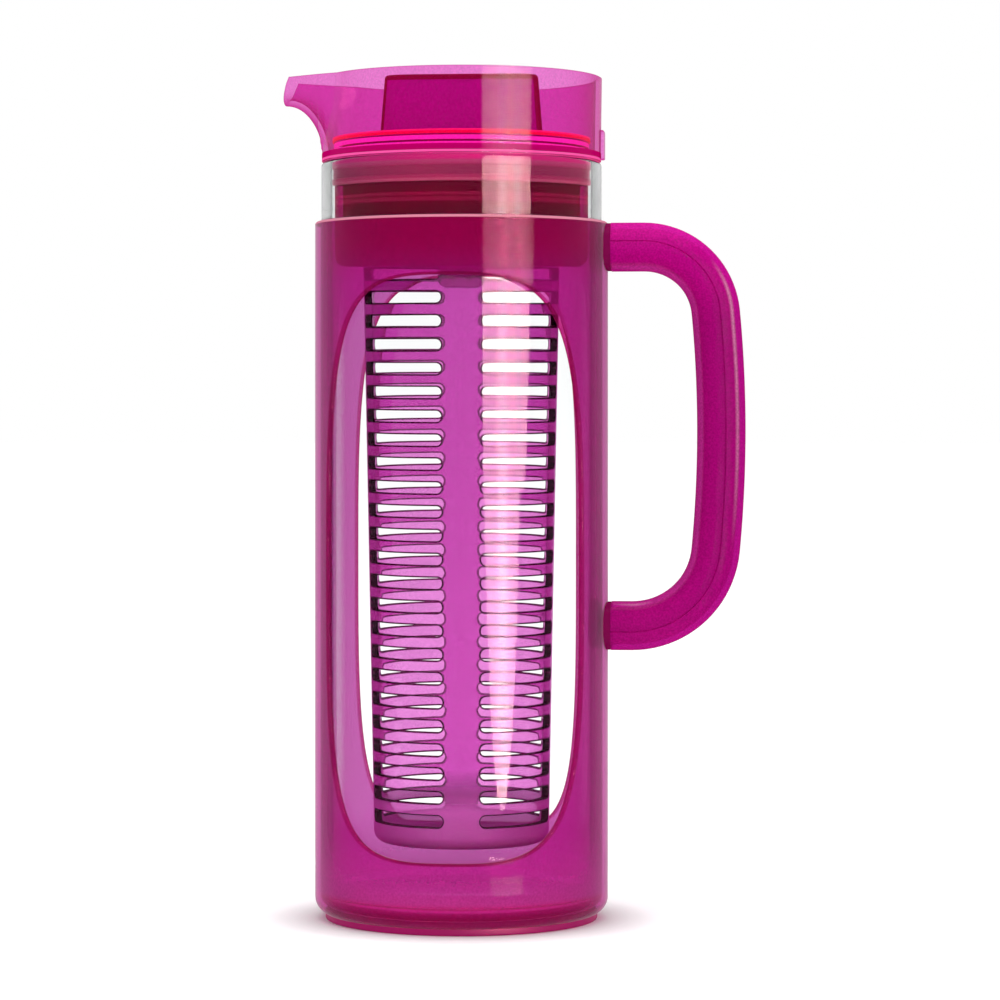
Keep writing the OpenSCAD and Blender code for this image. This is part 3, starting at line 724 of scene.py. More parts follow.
def ring(name, body, material, line):
    """A closed section (r, z) turned all the way round the axis."""
    return piece(name, body, material, [(turned(line, full_turn()), True, True)])


def edge_ring(name, body, tint, r, low, high, glow=0.7):
    """A thin ring on a round edge, bright with the light that the clear piece carries to it."""
    inner = r - 0.4
    line = rounded([(inner, low, 0), (r, low, 0.1), (r, high, 0.1), (inner, high, 0)], 3, closed=True)
    ring(name, body, edge_finish(name + " glow", tint, glow), line)


# Sleeve


def window_lines(s):
    """The window's outline and the border of the half turn round it, as pairs of (angle, height).

    The outline is half angle times soft cos and half height times soft sin; the border is a box.
    """
    upper_power, lower_power, wall_beyond = 3.2, 3.5, 9.0
    mid, half = (s.window_low + s.window_high) / 2, (s.window_high - s.window_low) / 2
    reach = half + wall_beyond
    t, border = box_rays(TURN, np.pi / 2, reach)
    power = np.where(np.sin(t) >= -NEAR, upper_power, lower_power)
    outline = np.stack([s.window_half * soft(np.cos(t), power), mid + half * soft(np.sin(t), power)], 1)
    return outline, border + [0, mid], mid - reach, mid + reach


def make_sleeve():
    """The sleeve: two pierced half turns, a rim band above them and a rounded pot below.

    The pot's lower edge is an arc of the corner's radius that stops where the foot ring begins. The
    bright line on the rim is a thin crescent between two arcs over its outer edge.
    """
    s = sizes()
    wall, corner, rim_round, bore_round, edge_lip = s.sleeve_wall, s.sleeve_corner, 1.2, 0.4, 0.5
    bore = s.sleeve_r - wall
    outline, border, low, high = window_lines(s)
    scale = np.array([s.sleeve_r, 1.0])
    grids = []
    for middle in (-np.pi / 2, np.pi / 2):
        place = on_wall(middle, s.sleeve_r, s.sleeve_r, -1)
        # band=0.5 keeps a painted dark line round each window: painted shade that stands in for the wall's
        # edge seen edge on.
        grids.append(pierced(outline * scale, border * scale, place, wall, edge_lip, rows=9, edge=6, band=0.5))
    columns = np.sort(border[border[:, 1] > high - NEAR, 0])[:-1]
    angles = np.concatenate([columns - np.pi / 2, columns + np.pi / 2])
    rim = rounded([
        (s.sleeve_r, high, 0), (s.sleeve_r, s.sleeve_top, rim_round), (bore, s.sleeve_top, bore_round),
        (bore, high, 0),
    ], 8)
    z, floor = s.sleeve_z, s.sleeve_z + s.sleeve_floor
    foot_in = s.foot_r - s.foot_w
    bend = np.linspace(0, math.acos((s.foot_r - s.sleeve_r + corner) / corner), 14)
    arc = np.stack([s.sleeve_r + corner * (np.cos(bend) - 1), z + corner * (1 - np.sin(bend))], 1)
    under = [(s.foot_r, s.foot_h), (foot_in, s.foot_h), (foot_in, z), (0, z)]
    outside = np.concatenate([[[s.sleeve_r, low]], arc, under])
    inside = rounded([(bore, low, 0), (bore, floor, corner - wall), (0, floor, 0)], 10)
    for line in (rim, outside, inside):
        grids.append((turned(line, angles), True, False))
    sleeve = piece("sleeve", "base", sleeve_finish(), grids)
    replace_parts(sleeve, "outer_sleeve")
    # Painted highlight: a thin bright crescent over the rim's rounded outer edge, in its own colour.
    arcs = [arc_line(s.sleeve_r - rim_round, s.sleeve_top - rim_round, r, 12, 62, 9) for r in (1.23, 0.9)]
    crescent = np.concatenate([arcs[0], arcs[1][::-1]])
    glow = edge_finish("sleeve rim glow", colours().rim_highlight)
    ring("sleeve_rim_highlight", "base", glow, crescent)


def make_foot():
    """The foot ring: a low ring with softened lower edges."""
    s = sizes()
    inner, outer, top = s.foot_r - s.foot_w + 0.05, s.foot_r - 0.05, s.foot_h - 0.02
    line = rounded([(inner, 0, 0.5), (outer, 0, 0.5), (outer, top, 0.1), (inner, top, 0.1)], 4, closed=True)
    finish = soft_ring("foot ring rubber", colours().foot, 0.05)
    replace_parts(ring("foot_ring_soft", "base", finish, line), "foot_ring")


# Handle


def section_loop(s, inset):
    """The handle's section as a closed line (u, v): a box with four rounded corners, drawn in by inset."""
    w, d, r = s.grip_w - inset, s.grip_depth / 2 - inset, s.grip_round - inset
    return rounded([(inset, -d, r), (w, -d, r), (w, d, r), (inset, d, r)], 8, closed=True)


def make_pads():
    """The two pads on the sleeve that carry the handle: the handle's section run out of the round wall.

    Each ring is the section drawn in to its middle by a share, and lies on the wall, where x is the root
    of radius squared less y squared, or on the pad's flat face.
    """
    s = sizes()
    seat, face = s.sleeve_r - 0.4, s.boss_x - 0.05
    loop = section_loop(s, 0.15)
    for name, height, up in (("pad_upper", s.upper_arm, 1), ("pad_lower", s.lower_arm, -1)):
        rings = []
        for share, on_face in ((0.0, False), (0.5, False), (1.0, False), (1.0, True), (0.0, True)):
            y, z = loop[:, 1] * share, height + up * (loop[:, 0] - s.grip_w / 2) * share
            x = np.full_like(y, face) if on_face else np.sqrt(seat**2 - y**2)
            rings.append(np.stack([x, y, z], 1))
        finish = edge_finish("pad plastic", colours().pad)
        piece(name, "base", finish, [(np.array(rings), False, True)])


def handle_path(s):
    """Stations of the handle's middle line (x, z, outward angle): arm, bend, slow bow, bend, arm."""
    count = 22
    top, low = s.upper_arm - s.upper_bend, s.lower_arm + s.lower_bend
    mid, x0 = (top + low) / 2, s.grip_x - s.bow_r
    a_top = math.asin((top - mid) / (s.bow_r - s.upper_bend))
    a_low = math.asin((low - mid) / (s.bow_r - s.lower_bend))
    bend_top = x0 + (s.bow_r - s.upper_bend) * math.cos(a_top)
    bend_low = x0 + (s.bow_r - s.lower_bend) * math.cos(a_low)

    def arc(x, z, r, start, end):
        """Points of an arc round (x, z), each with the angle at which it looks outwards."""
        t = np.linspace(start, end, count)
        return np.stack([x + r * np.cos(t), z + r * np.sin(t), t], 1)

    return np.concatenate([
        [[s.boss_x, s.upper_arm, np.pi / 2]],
        arc(bend_top, top, s.upper_bend, np.pi / 2, a_top),
        arc(x0, mid, s.bow_r, a_top, a_low)[1:-1],
        arc(bend_low, low, s.lower_bend, a_low, -np.pi / 2),
        [[s.boss_x, s.lower_arm, -np.pi / 2]],
    ])


def swept(s, line):
    """A line across the handle (u, v) carried to every station: u runs outwards from the inner face."""
    path = handle_path(s)
    x, z, a = (path[:, i : i + 1] for i in range(3))
    u, v = line[:, 0] - s.grip_w / 2, line[:, 1]
    return np.stack([x + u * np.cos(a), np.broadcast_to(v, (len(path), len(v))), z + u * np.sin(a)], -1)


def shell(name, s, outer, inner, bright):
    """One shell of the handle: outer and inner line swept, and the wall between them at both ends.

    bright lists pairs: points of the outer line, and how pale they are, everywhere or at each station.
    """
    wall = swept(s, np.concatenate([outer, inner[::-1]])).transpose(1, 0, 2)
    paint = np.zeros(wall.shape[:2])
    for points, strength in bright:
        paint[list(points)] = strength
    ends = [np.stack([swept(s, outer)[k], swept(s, inner)[k]]) for k in (0, -1)]
    grids = [(wall, True, False, paint)] + [(end, False, False) for end in ends]
    return piece(name, "base", handle_finish(), grids, crease=50.0)


def make_handle():
    """The handle's two shells: an open channel inside, and a crowned cap whose lip reaches into it.

    Both lines are a half, of an arc of n points and straight runs, and its mirror image.
    """
    s = sizes()
    d, r, seam = s.grip_depth / 2, s.grip_round, s.grip_w - s.grip_round
    wall, groove, lip, lip_wall, play = 2.0, 0.3, 1.4, 0.9, 0.05
    n = 11
    height = handle_path(s)[:, 1]

    def channel(inset, edge):
        """The channel's line: a quarter round and a straight side, which steps in to edge at the seam."""
        corner = arc_line(r, d - r, r - inset, 180, 90, n)
        half = np.concatenate([corner, [[seam - groove, d - inset], [seam, d - edge]]])
        return np.concatenate([half[::-1] * [1, -1], half])

    half = n + 2
    # Painted highlights on the channel: a faint pale band over its inner face, and a pale line near it that is
    # strong along the lower arm.
    palm_highlight = [k for k in range(2 * half) if abs(k - half + 0.5) < 6]
    arm = np.interp(height, [s.lower_arm, s.lower_arm + 1.5], [0.7, 0.07])
    bright = [(palm_highlight, 0.07), ((half - 4, half + 3), arm)]
    inner_shell = shell("handle_inner_shell", s, channel(0, groove), channel(wall, wall), bright)
    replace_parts(inner_shell, "handle_channel")

    side = d - wall - play
    bite = math.degrees(math.asin(groove / r))
    crown = arc_line(seam, d - r, r, 90 - bite, 0, n)
    outer = np.concatenate([[[seam - lip, side], [seam, side], [seam, d - groove]], crown])
    side -= lip_wall
    q = r - wall - lip_wall
    hollow = arc_line(seam + lip_wall, side - q, q, 90, 0, n + 1)
    inner = np.concatenate([[[seam - lip, side], [seam - lip / 2, side]], hollow])
    outer = np.concatenate([outer, outer[::-1] * [1, -1]])
    inner = np.concatenate([inner, inner[::-1] * [1, -1]])
    # Painted highlight: a pale line along the cover's crown, strongest down the bow and gone at both arms.
    highlight_column = 7
    painted_glint = np.interp(height, [126.0, 150.0, 195.0, 208.0, 216.0], [0.0, 0.5, 0.8, 0.9, 0.0])
    bright = [((highlight_column, len(outer) - 1 - highlight_column), painted_glint)]
    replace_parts(shell("handle_outer_shell", s, outer, inner, bright), "handle_cover")


# Carafe


def make_carafe():
    """The carafe: a round pot with an even wall, a thick floor and a rounded rim."""
    s = sizes()
    floor, rim_round = s.carafe_z + 5.0, 1.2
    line = rounded([
        (0, s.carafe_z, 0), (s.carafe_r, s.carafe_z, 5.0), (s.carafe_r, s.carafe_top, rim_round),
        (s.carafe_bore, s.carafe_top, rim_round), (s.carafe_bore, floor, 6.0), (0, floor, 0),
    ], 10)
    grids = [(turned(line, full_turn()), True, False)]
    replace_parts(piece("carafe_pot", "vessel", carafe_finish(), grids), "carafe")


# Collar and its spout


def trough(s, a, t, grow, lift):
    """A point of the spout's trough for a station angle a and a section angle t, drawn in by grow.

    Station: x is lip + (run + grow) cos a, the lowest point is foot + (rise + grow) sin a, and below
    a = 0 the trough runs straight on into the collar. Section: y is half width times soft cos t,
    z is rim + depth times soft sin t, and the section leans back towards the mouth.
    """
    mouth_run, keel_rise, straight_run, power = 13.9, 18.5, 12.0, 2.3
    half_at_wall, half_at_lip, mouth_lean = 21.0, 12.5, math.radians(17.8)
    top = s.collar_top - lift
    up = np.maximum(a, 0)
    x = -s.spout_reach + lift + (mouth_run - lift + grow) * np.cos(up) - np.minimum(a, 0) * straight_run
    low = s.collar_top - s.lip_depth - keel_rise + (keel_rise + grow) * np.sin(up)
    if grow > 0:
        low = np.maximum(low, s.collar_floor + 0.05)
    run = (-s.collar_r - x) / (s.spout_reach - s.collar_r)
    half = half_at_wall + (half_at_lip - half_at_wall) * run - grow
    y = half * soft(np.cos(t), power)
    z = top + (top - low) * soft(np.sin(t), power)
    lean = math.tan(mouth_lean) * (up / (np.pi / 2)) ** 2
    return np.stack([x + lean * (z - s.collar_top + s.lip_depth), y, z], -1)


def crease(s, t, grow, lift, radius):
    """Where each section angle's line meets the collar's round wall, by halving the span 45 times."""
    low, high = np.full_like(t, -1.0), np.full_like(t, np.pi / 2)
    for _ in range(45):
        mid = (low + high) / 2
        p = trough(s, mid, t, grow, lift)
        past = np.hypot(p[:, 0], p[:, 1]) > radius(p[:, 2])
        low, high = np.where(past, low, mid), np.where(past, mid, high)
    return low


def make_collar():
    """The collar: a round wall with a floor ring, and the trough that leaves it through a crease.

    The wall's two sides are each a trough, the wall under it and the plain wall, and the rim between
    them is the straight way across plus a bulge of lift times a root of the sine.
    """
    s = sizes()
    lift, flare, along, up = 0.35, 0.4, 26, 9
    t = np.linspace(np.pi, 2 * np.pi, 73)
    inner_r = s.collar_r - s.collar_wall

    def outer(z):
        """The outer radius, which grows by the flare from the foot to the rim."""
        return s.collar_r + flare * (z - s.lid_z) / (s.collar_top - s.lid_z)

    def inner(z):
        """The inner radius, which grows by the flare from the floor to the rim."""
        return inner_r + flare * (z - s.collar_floor) / (s.collar_top - s.collar_floor)

    def side(grow, radius, foot):
        """Trough from crease to mouth, wall under it, and plain wall, on one side of the wall."""
        start = crease(s, t, grow, lift, radius)
        a = start + (np.pi / 2 - start) * np.linspace(0, 1, along)[:, None]
        channel = trough(s, a, np.broadcast_to(t, a.shape), grow, lift)
        edge = channel[0]
        angle = np.unwrap(np.arctan2(edge[:, 1], edge[:, 0]))
        z = foot + (edge[:, 2] - foot) * np.linspace(0, 1, up)[:, None]
        under = polar(radius(z), angle, z)
        under[-1] = edge
        around = np.linspace(angle[-1], angle[0] - 2 * np.pi * np.sign(angle[0] - angle[-1]), 141)
        z = foot + (edge[0, 2] - foot) * np.linspace(0, 1, up)[:, None] + around * 0
        plain = polar(radius(z), around, z)
        plain[:, 0], plain[:, -1] = under[:, -1], under[:, 0]
        return channel, under, plain

    out_c, out_u, out_p = side(0.0, outer, s.lid_z)
    in_c, in_u, in_p = side(s.collar_wall, inner, s.collar_floor)
    w = np.linspace(0, 1, 6)[:, None, None]
    bulge = lift * np.sin(np.pi * w) ** 0.6

    def rim(first, second, way):
        """The rounded rim between two lines, bulging in a direction."""
        return first + (second - first) * w + bulge * way

    top = np.array([0, 0, 1.0])
    ends = np.exp(-((np.minimum(t - np.pi, 2 * np.pi - t) / math.radians(7)) ** 2))[:, None]
    out_way = ends * top + (1 - ends) * np.array([-1.0, 0, 0])
    ring_out = np.concatenate([out_u[0], out_p[0, 1:-1]])
    ring_in = np.concatenate([in_u[0], in_p[0, 1:-1]])
    angle = np.arctan2(ring_in[:, 1], ring_in[:, 0])
    levels = [polar(s.plug_bore, angle, z) for z in (s.collar_floor, s.collar_floor - 0.5, s.lid_z)]
    grids = [(g, False, False) for g in (
        out_c, out_u, out_p, in_c, in_u, in_p, rim(out_p[-1], in_p[-1], top),
        rim(out_c[:, 0], in_c[:, 0], top), rim(out_c[:, -1], in_c[:, -1], top),
        rim(out_c[-1], in_c[-1], out_way),
    )]
    grids.append((np.array([ring_in, *levels, ring_out]), False, True))
    collar = piece("collar_with_spout", "lid", collar_finish(), grids, crease=32.0)
    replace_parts(collar, "pour_collar")

    # Painted light: two glowing lines, on the collar's foot and at the floor's edge.
    c, r, foot = colours(), s.collar_r + 0.12, s.lid_z
    edge_ring("collar_foot_line", "lid", c.foot_line, r, foot + 0.05, foot + 0.85, 0.15)
    edge_ring("collar_floor_line", "lid", c.floor_line, r, foot + 0.95, s.collar_floor, 0.1)

    def tab_place(u, v, d):
        """A flat face over the handle: u is y, v is height, and d goes out along x."""
        return np.stack([s.collar_r - 0.3 + d, u, v], -1)

    tab = raised(panel(5, 253.75, 263.3, 1.2, 1.2, 5), tab_place, 1.6)
    piece("collar_tab", "lid", collar_finish(), [tab])


# Plug, gasket and stopper


def floor_cells(count, start, r_mid, r_half, hole_r, low, thick, points=32, band=0.0):
    """A ring of floor cells, each with a round hole, and the angles of the ring's columns."""
    half = np.pi / count
    t, border = box_rays(points, half * r_mid, r_half)
    border = border + [0, r_mid]
    hole = np.stack([hole_r * np.cos(t), r_mid + hole_r * np.sin(t)], 1)
    top = np.sort(border[border[:, 1] > r_mid + r_half - NEAR, 0])[:-1] / r_mid
    grids, columns = [], []
    for i in range(count):
        middle = start + 2 * half * (i + 0.5)

        def place(u, v, d, middle=middle):
            """A flat floor: u is arc from the cell's middle, v is the distance from the axis, d goes up."""
            return polar(v, middle + u / r_mid, low + d)

        grids.append(pierced(hole, border, place, thick, 0.12, rows=2, edge=4, band=band))
        columns.append(middle + top)
    return grids, np.concatenate(columns)


def make_plug():
    """The plug: a deep cup in the neck, with drain holes round its floor and a notched round opening.

    The opening's points within the notches' angles are moved out to the notches' radius.
    """
    s = sizes()
    low, thick = s.plug_z, 1.9
    holes, holes_r, cell_half, hole_r = 24, 36.6, 1.6, 1.4
    cell_in, cell_out = 35.0, 38.2
    opening, notch_r, notch_half, notch_turn = 30.65, 34.05, math.radians(14.5), math.radians(30)
    shelf, neck_r = 243.95, 41.4
    cells, angles = floor_cells(holes, 0.0, holes_r, cell_half, hole_r, low, thick)
    outline = rounded([
        (cell_out, low, 0), (s.plug_r, low, 4.0), (s.plug_r, shelf, 0.3), (neck_r, shelf, 0.2),
        (neck_r, s.lid_z, 0.2), (s.plug_bore, s.lid_z, 0.2), (s.plug_bore, low + thick, 1.4),
        (cell_out, low + thick, 0),
    ], 8)
    socket = turned([(cell_in, low), (opening, low), (opening, low + thick), (cell_in, low + thick)], angles)
    reach = np.hypot(socket[..., 0], socket[..., 1])
    for side in (0, np.pi):
        off = (angles - (s.infuser_turn - notch_turn + side) + np.pi) % (2 * np.pi) - np.pi
        inside = (np.abs(off) < notch_half)[:, None] & (reach < notch_r)
        socket[..., :2] *= np.where(inside, notch_r / reach, 1.0)[..., None]
    grids = cells + [(turned(outline, angles), True, False), (socket, True, False)]
    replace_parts(piece("plug_cup", "lid", plug_finish(), grids), "neck_plug")


def make_gasket():
    """The gasket: a ring with an upper and a lower sealing rib, a waist, and a flange on the rim."""
    s = sizes()
    seat, rib, waist, flange_r = 41.45, s.carafe_bore - 0.05, s.carafe_bore - 0.45, 46.4
    low, rib_h, waist_low, waist_high, upper_rib = 244.0, 1.9, 2.3, 249.1, 249.5
    top, flange = s.lid_z, s.lid_z - 0.5
    line = rounded([
        (seat, low, 0.2), (rib, low, 0.7), (rib, low + rib_h, 0.5), (waist, low + waist_low, 0.2),
        (waist, waist_high, 0.2), (rib, upper_rib, 0.6), (rib, flange, 0.1), (flange_r, flange, 0.15),
        (flange_r, top, 0.15), (seat, top, 0.1),
    ], 4, closed=True)
    finish = soft_ring("gasket rubber", colours().gasket, 0.35, GASKET_HIGHLIGHT_BANDS)
    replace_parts(ring("gasket_ring", "lid", finish, line), "neck_gasket")


def make_stopper():
    """The stopper's stepped body with its port towards the spout, and the round seal in its groove."""
    s = sizes()
    bore, skirt_r, land_r, groove_r, flange_r = 35.8, 37.4, 39.3, 37.0, 42.6
    foot, step, groove_low, groove_high, top = 222, 240.5, 245.55, 248.45, 259.33
    line = rounded([
        (bore, foot, 0.3), (skirt_r, foot, 0.3), (skirt_r, step, 0.3), (land_r, step, 0.3),
        (land_r, groove_low, 0.2), (groove_r, groove_low, 0.2), (groove_r, groove_high, 0.2),
        (land_r, groove_high, 0.2), (land_r, s.collar_floor, 0.2), (flange_r, s.collar_floor, 0.2),
        (flange_r, top, 0.5), (bore, top, 0.3),
    ], 4, closed=True)
    body = [ported(line, np.pi, s.collar_floor + 0.25)]
    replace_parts(piece("stopper_ring", "stopper", plug_finish(), body), "stopper_body")
    # Painted light: two glowing lines round the stopper's flange.
    for name, low, high in (("flange_line_low", 256.2, 256.9), ("flange_line_high", 257.6, 259.0)):
        edge_ring(name, "stopper", colours().flange_line, flange_r + 0.12, low, high)
    seal_r, seal_z, cord = 38.35, 247, 1.3
    t = full_turn(24)
    line = np.stack([seal_r + cord * np.cos(t), seal_z + cord * np.sin(t)], 1)
    finish = soft_ring("seal rubber", colours().gasket, 0.2)
    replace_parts(ring("stopper_o_ring", "stopper", finish, line), "stopper_seal")


# Cap


def knob_ring(s, inset, z):
    """The grip's outline at a height, drawn in by inset.

    x is half the length times soft cos to the power 6, y half the thickness times soft sin to the power 3.
    """
    t = full_turn()
    half_l, half_t = s.knob_l / 2 - inset, s.knob_t / 2 - inset
    return np.stack([half_l * soft(np.cos(t), 6), half_t * soft(np.sin(t), 3), np.full(TURN, z)], 1)


def make_cap():
    """The cap: a disc whose middle rises into a hollow bar grip, and the ported skirt of its valve.

    Its rings are circles, then shares of the way from the circle to the grip's foot, then the grip's
    outline, drawn in by the taper with the height, and at last shares of the top ring.
    """
    s = sizes()
    t = full_turn()
    taper, edge, wall = KNOB_TAPER, 1.0, 1.8
    top, low, roof, under_z = s.knob_top, s.disc_top, s.knob_top - wall, s.disc_z
    side_steps, hollow_steps = 8, 4
    closing = (0.8, 0.4, 0.0)

    discs = ((42.7, under_z), (s.stopper_r, under_z + 0.3), (s.stopper_r, low - 0.4), (42.8, low))
    rings = [polar(r, t, z) for r, z in discs]
    base = knob_ring(s, -0.5, low)
    rings += [rings[-1] + (base - rings[-1]) * k for k in (0.35, 0.7, 1.0)]
    rings += [knob_ring(s, -0.15, low + 0.2), knob_ring(s, 0, low + 0.6)]
    rise = (top - edge - low) / side_steps
    outer = [(taper * k / side_steps, low + rise * k) for k in range(1, side_steps + 1)]
    round_up = np.linspace(0, np.pi / 2, 6)[1:]
    outer += [(taper + edge * (1 - math.cos(q)), top - edge + edge * math.sin(q)) for q in round_up]
    rings += [knob_ring(s, inset, max(z, low + 0.9)) for inset, z in outer]
    last = rings[-1]
    rings += [last * [k, k, 1] for k in closing]

    hollow = [(wall, under_z), (wall, low)]
    shares = np.arange(1, hollow_steps + 1) / hollow_steps
    hollow += [(wall + taper * k, low + (roof - 1 - low) * k) for k in shares]
    hollow += [(wall + taper + 0.8, roof)]
    under = [knob_ring(s, inset, z) for inset, z in hollow]
    lower = [rings[0] + (under[0] - rings[0]) * k for k in (0.35, 0.7)]
    under += [under[-1] * [k, k, 1] for k in closing]
    grids = [(np.array(rings), False, True), (np.array([rings[0], *lower, *under]), False, True)]
    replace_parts(piece("cap_with_grip", "cap", knob_finish(), grids), "stopper_cap")

    # Painted light: two glowing lines round the disc's edge.
    c, r = colours(), s.stopper_r + 0.12
    edge_ring("disc_edge_line", "cap", c.disc_line, r, low - 0.6, low - 0.05)
    edge_ring("disc_edge", "cap", c.disc_edge, r, under_z + 0.1, low - 0.65)
    bore, skirt_r, bead_r, foot, bead_top, skirt_top = 33.8, 35.4, 36.1, 243.3, 244.9, under_z - 0.02
    line = rounded([
        (bore, foot, 0.3), (bead_r, foot, 0.5), (bead_r, bead_top, 0.4), (skirt_r, bead_top, 0),
        (skirt_r, skirt_top, 0), (bore, skirt_top, 0),
    ], 4, closed=True)
    skirt = ported(line, np.pi / 2, s.collar_floor + 0.25)
    piece("cap_skirt", "cap", plug_finish(), [skirt])


# Infuser


def slot_pair(half_turn, rib, radius, reach, above, below):
    """Outline of a slot with round ends, and the border of its cell, in millimetres of arc and height."""
    edge = half_turn - math.radians(3.3)
    straight = np.linspace(-1, 1, 15)[:-1] * edge
    h = half_turn * reach - radius
    top = np.stack([straight / edge * h, np.full(14, radius)], 1)
    t = np.linspace(np.pi / 2, -np.pi / 2, 13)[:-1]
    end = np.stack([h + radius * np.cos(t), radius * np.sin(t)], 1)

    def through(*corners):
        """Four points on each side between corners, without the last corner."""
        k = np.linspace(0, 1, 5)[:-1, None]
        corners = np.array(corners, float)
        return np.concatenate([a + (b - a) * k for a, b in zip(corners, corners[1:])])

    outline = np.concatenate([top, end, -top, end * [-1, -1]])
    border = np.concatenate([
        np.stack([straight, np.full(14, above)], 1),
        through((edge, above), (rib, above), (rib, -below), (edge, -below)),
        np.stack([-straight, np.full(14, -below)], 1),
        through((-edge, -below), (-rib, -below), (-rib, above), (-edge, above)),
    ])
    return outline, border * [reach, 1]


def make_infuser():
    """The infuser: a tapered wall with rows of slots between four ribs, a holed floor and a bayonet neck.

    The radius falls evenly from the shoulder to the foot, and each slot's cell is bent to it.
    """
    s = sizes()
    rows, slot_r, ref, edge_up, floor_t = 24, 1.8, 31.0, 0.2, 2.2
    slot_half, quarter = math.radians(33), math.radians(45)
    foot, shoulder, wall = s.infuser_z, s.infuser_top, s.infuser_wall
    first, last = shoulder - 2.3, foot + 9.4
    pitch = (first - last) / (rows - 1)

    def face(z):
        """The outer radius at a height."""
        return s.infuser_low_r + (s.infuser_r - s.infuser_low_r) * (z - foot) / (shoulder - foot)

    grids = []
    for row in range(rows):
        z = first - row * pitch
        above = shoulder - edge_up - z if row == 0 else pitch / 2
        outline, border = slot_pair(slot_half, quarter, slot_r, ref, above, pitch / 2)
        for cell in range(4):
            middle = s.infuser_turn + math.radians(45 + 90 * cell)

            def place(u, v, d, middle=middle, z=z):
                """The tapered wall: u is arc from the cell's middle, v height from the row, d goes in."""
                return polar(face(z + v) - d, middle + u / ref, z + v)

            # band=0.3 keeps a painted dark line round each slot: painted shade.
            grids.append(pierced(outline, border, place, wall, 0.25, rows=2, edge=4, band=0.3))
    top = np.sort(np.unique(np.round(border[border[:, 1] > pitch / 2 - NEAR, 0] / ref, 9)))[:-1]
    angles = np.concatenate([s.infuser_turn + math.radians(45 + 90 * cell) + top for cell in range(4)])
    low, high, floor = last - pitch / 2, shoulder - edge_up, foot + floor_t
    neck_r, neck_bore, neck_top = 30.3, 28.3, 222.9
    neck = rounded([
        (face(high), high, 0), (s.infuser_r, shoulder, 0.1), (neck_r, shoulder, 0), (neck_r, neck_top, 0.5),
        (neck_bore, neck_top, 0.5), (neck_bore, shoulder - 0.5, 0), (face(high) - wall, high, 0),
    ], 5)
    foot_r, floor_r, cells_r, cells_half, centre_r = face(foot + 4), 11.5, 7.4, 3.4, 1.6
    outside = rounded([(face(low), low, 0), (foot_r, foot, 4.0), (floor_r, foot, 0)], 8)
    inside = rounded([(floor_r, floor, 0), (foot_r - wall, floor, 2.5), (face(low) - wall, low, 0)], 6)
    for line in (neck, outside, inside):
        grids.append((turned(line, angles), True, False))
    start = s.infuser_turn - np.pi / 4
    # band=0.4 keeps a painted dark ring round each floor hole: painted shade.
    cells, columns = floor_cells(4, start, cells_r, cells_half, 1.6, foot, floor_t, points=64, band=0.4)
    grids += cells
    cell_in, cell_out = 4.0, 10.8
    centre = [(cell_in, foot, 0), (centre_r, foot, 0.2), (centre_r, floor, 0.2), (cell_in, floor, 0)]
    grids.append((turned(rounded(centre, 3), columns), True, False))
    for z in (foot, floor):
        grids.append((turned([(cell_out, z), (floor_r, z)], angles), True, False))
    basket = piece("infuser_basket", "infuser", infuser_finish(), grids)
    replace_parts(basket, "infuser_core")
    key = panel(7.5, 209.7, 216.4, 2.4, 0.4, 6)
    lug = panel(7.6, 218.8, 221.0, 0.5, 0.5, 5)
    for side, tag in ((-1, "front"), (1, "back")):
        middle = s.infuser_turn + side * np.pi / 2
        block = raised(key, on_wall(middle, s.infuser_r - 0.4, s.infuser_r), 1.1)
        piece("key_pad_" + tag, "infuser", infuser_finish(), [block])
        block = raised(lug, on_wall(middle, 29.6, 33.7), 4.1)
        piece("bayonet_lug_" + tag, "infuser", infuser_finish(), [block])


# Studio


def lit_paths(tree):
    """1 for rays that show a thing to the camera, a reflection or through glass, else 0."""
    path = tree.nodes.new("ShaderNodeLightPath")
    total = path.outputs["Is Camera Ray"]
    for name in ("Is Glossy Ray", "Is Transmission Ray"):
        total = combined(tree, "MAXIMUM", total, path.outputs[name])
    return total


def make_floor(scene):
    """A wide flat square at height 0, which beyond the object's foot also glows up to white."""
    half, glow_from, glow_by, glow_share = 30.0, 0.05, 0.066, 0.32
    mesh = bpy.data.meshes.new("studio_floor")
    corners = [(-half, -half, 0), (half, -half, 0), (half, half, 0), (-half, half, 0)]
    mesh.from_pydata(corners, [], [(0, 1, 2, 3)])
    floor = bpy.data.objects.new("studio_floor", mesh)
    scene.collection.objects.link(floor)
    mat, tree, out = shader("studio floor")
    mesh.materials.append(mat)
    plain = tree.nodes.new("ShaderNodeBsdfDiffuse")
    plain.inputs["Color"].default_value = (*colours().floor[:3], 1.0)
    away = tree.nodes.new("ShaderNodeVectorMath")
    away.operation = "LENGTH"
    tree.links.new(own_point(tree), away.inputs[0])
    # Painted shadow: the glow is gone within glow_from of the axis and full beyond glow_by.
    fade = ranged(tree, away.outputs["Value"], 0.0, glow_share, glow_from, glow_by)
    glow = tree.nodes.new("ShaderNodeEmission")
    tree.links.new(fade, glow.inputs["Color"])
    tree.links.new(lit_paths(tree), glow.inputs["Strength"])
    both = tree.nodes.new("ShaderNodeAddShader")
    tree.links.new(plain.outputs[0], both.inputs[0])
    tree.links.new(glow.outputs[0], both.inputs[1])
    tree.links.new(both.outputs[0], out.inputs["Surface"])


def make_surround(scene):
    """A white surround, a little weaker as a light than as a background."""
    world = bpy.data.worlds.new("studio surround")
    scene.world = world
    world.use_nodes = True
    tree = world.node_tree
    back = next(n for n in tree.nodes if n.type == "BACKGROUND")
    back.inputs["Color"].default_value = (1, 1, 1, 1)
    tree.links.new(ranged(tree, lit_paths(tree), 0.85, 1.0), back.inputs["Strength"])


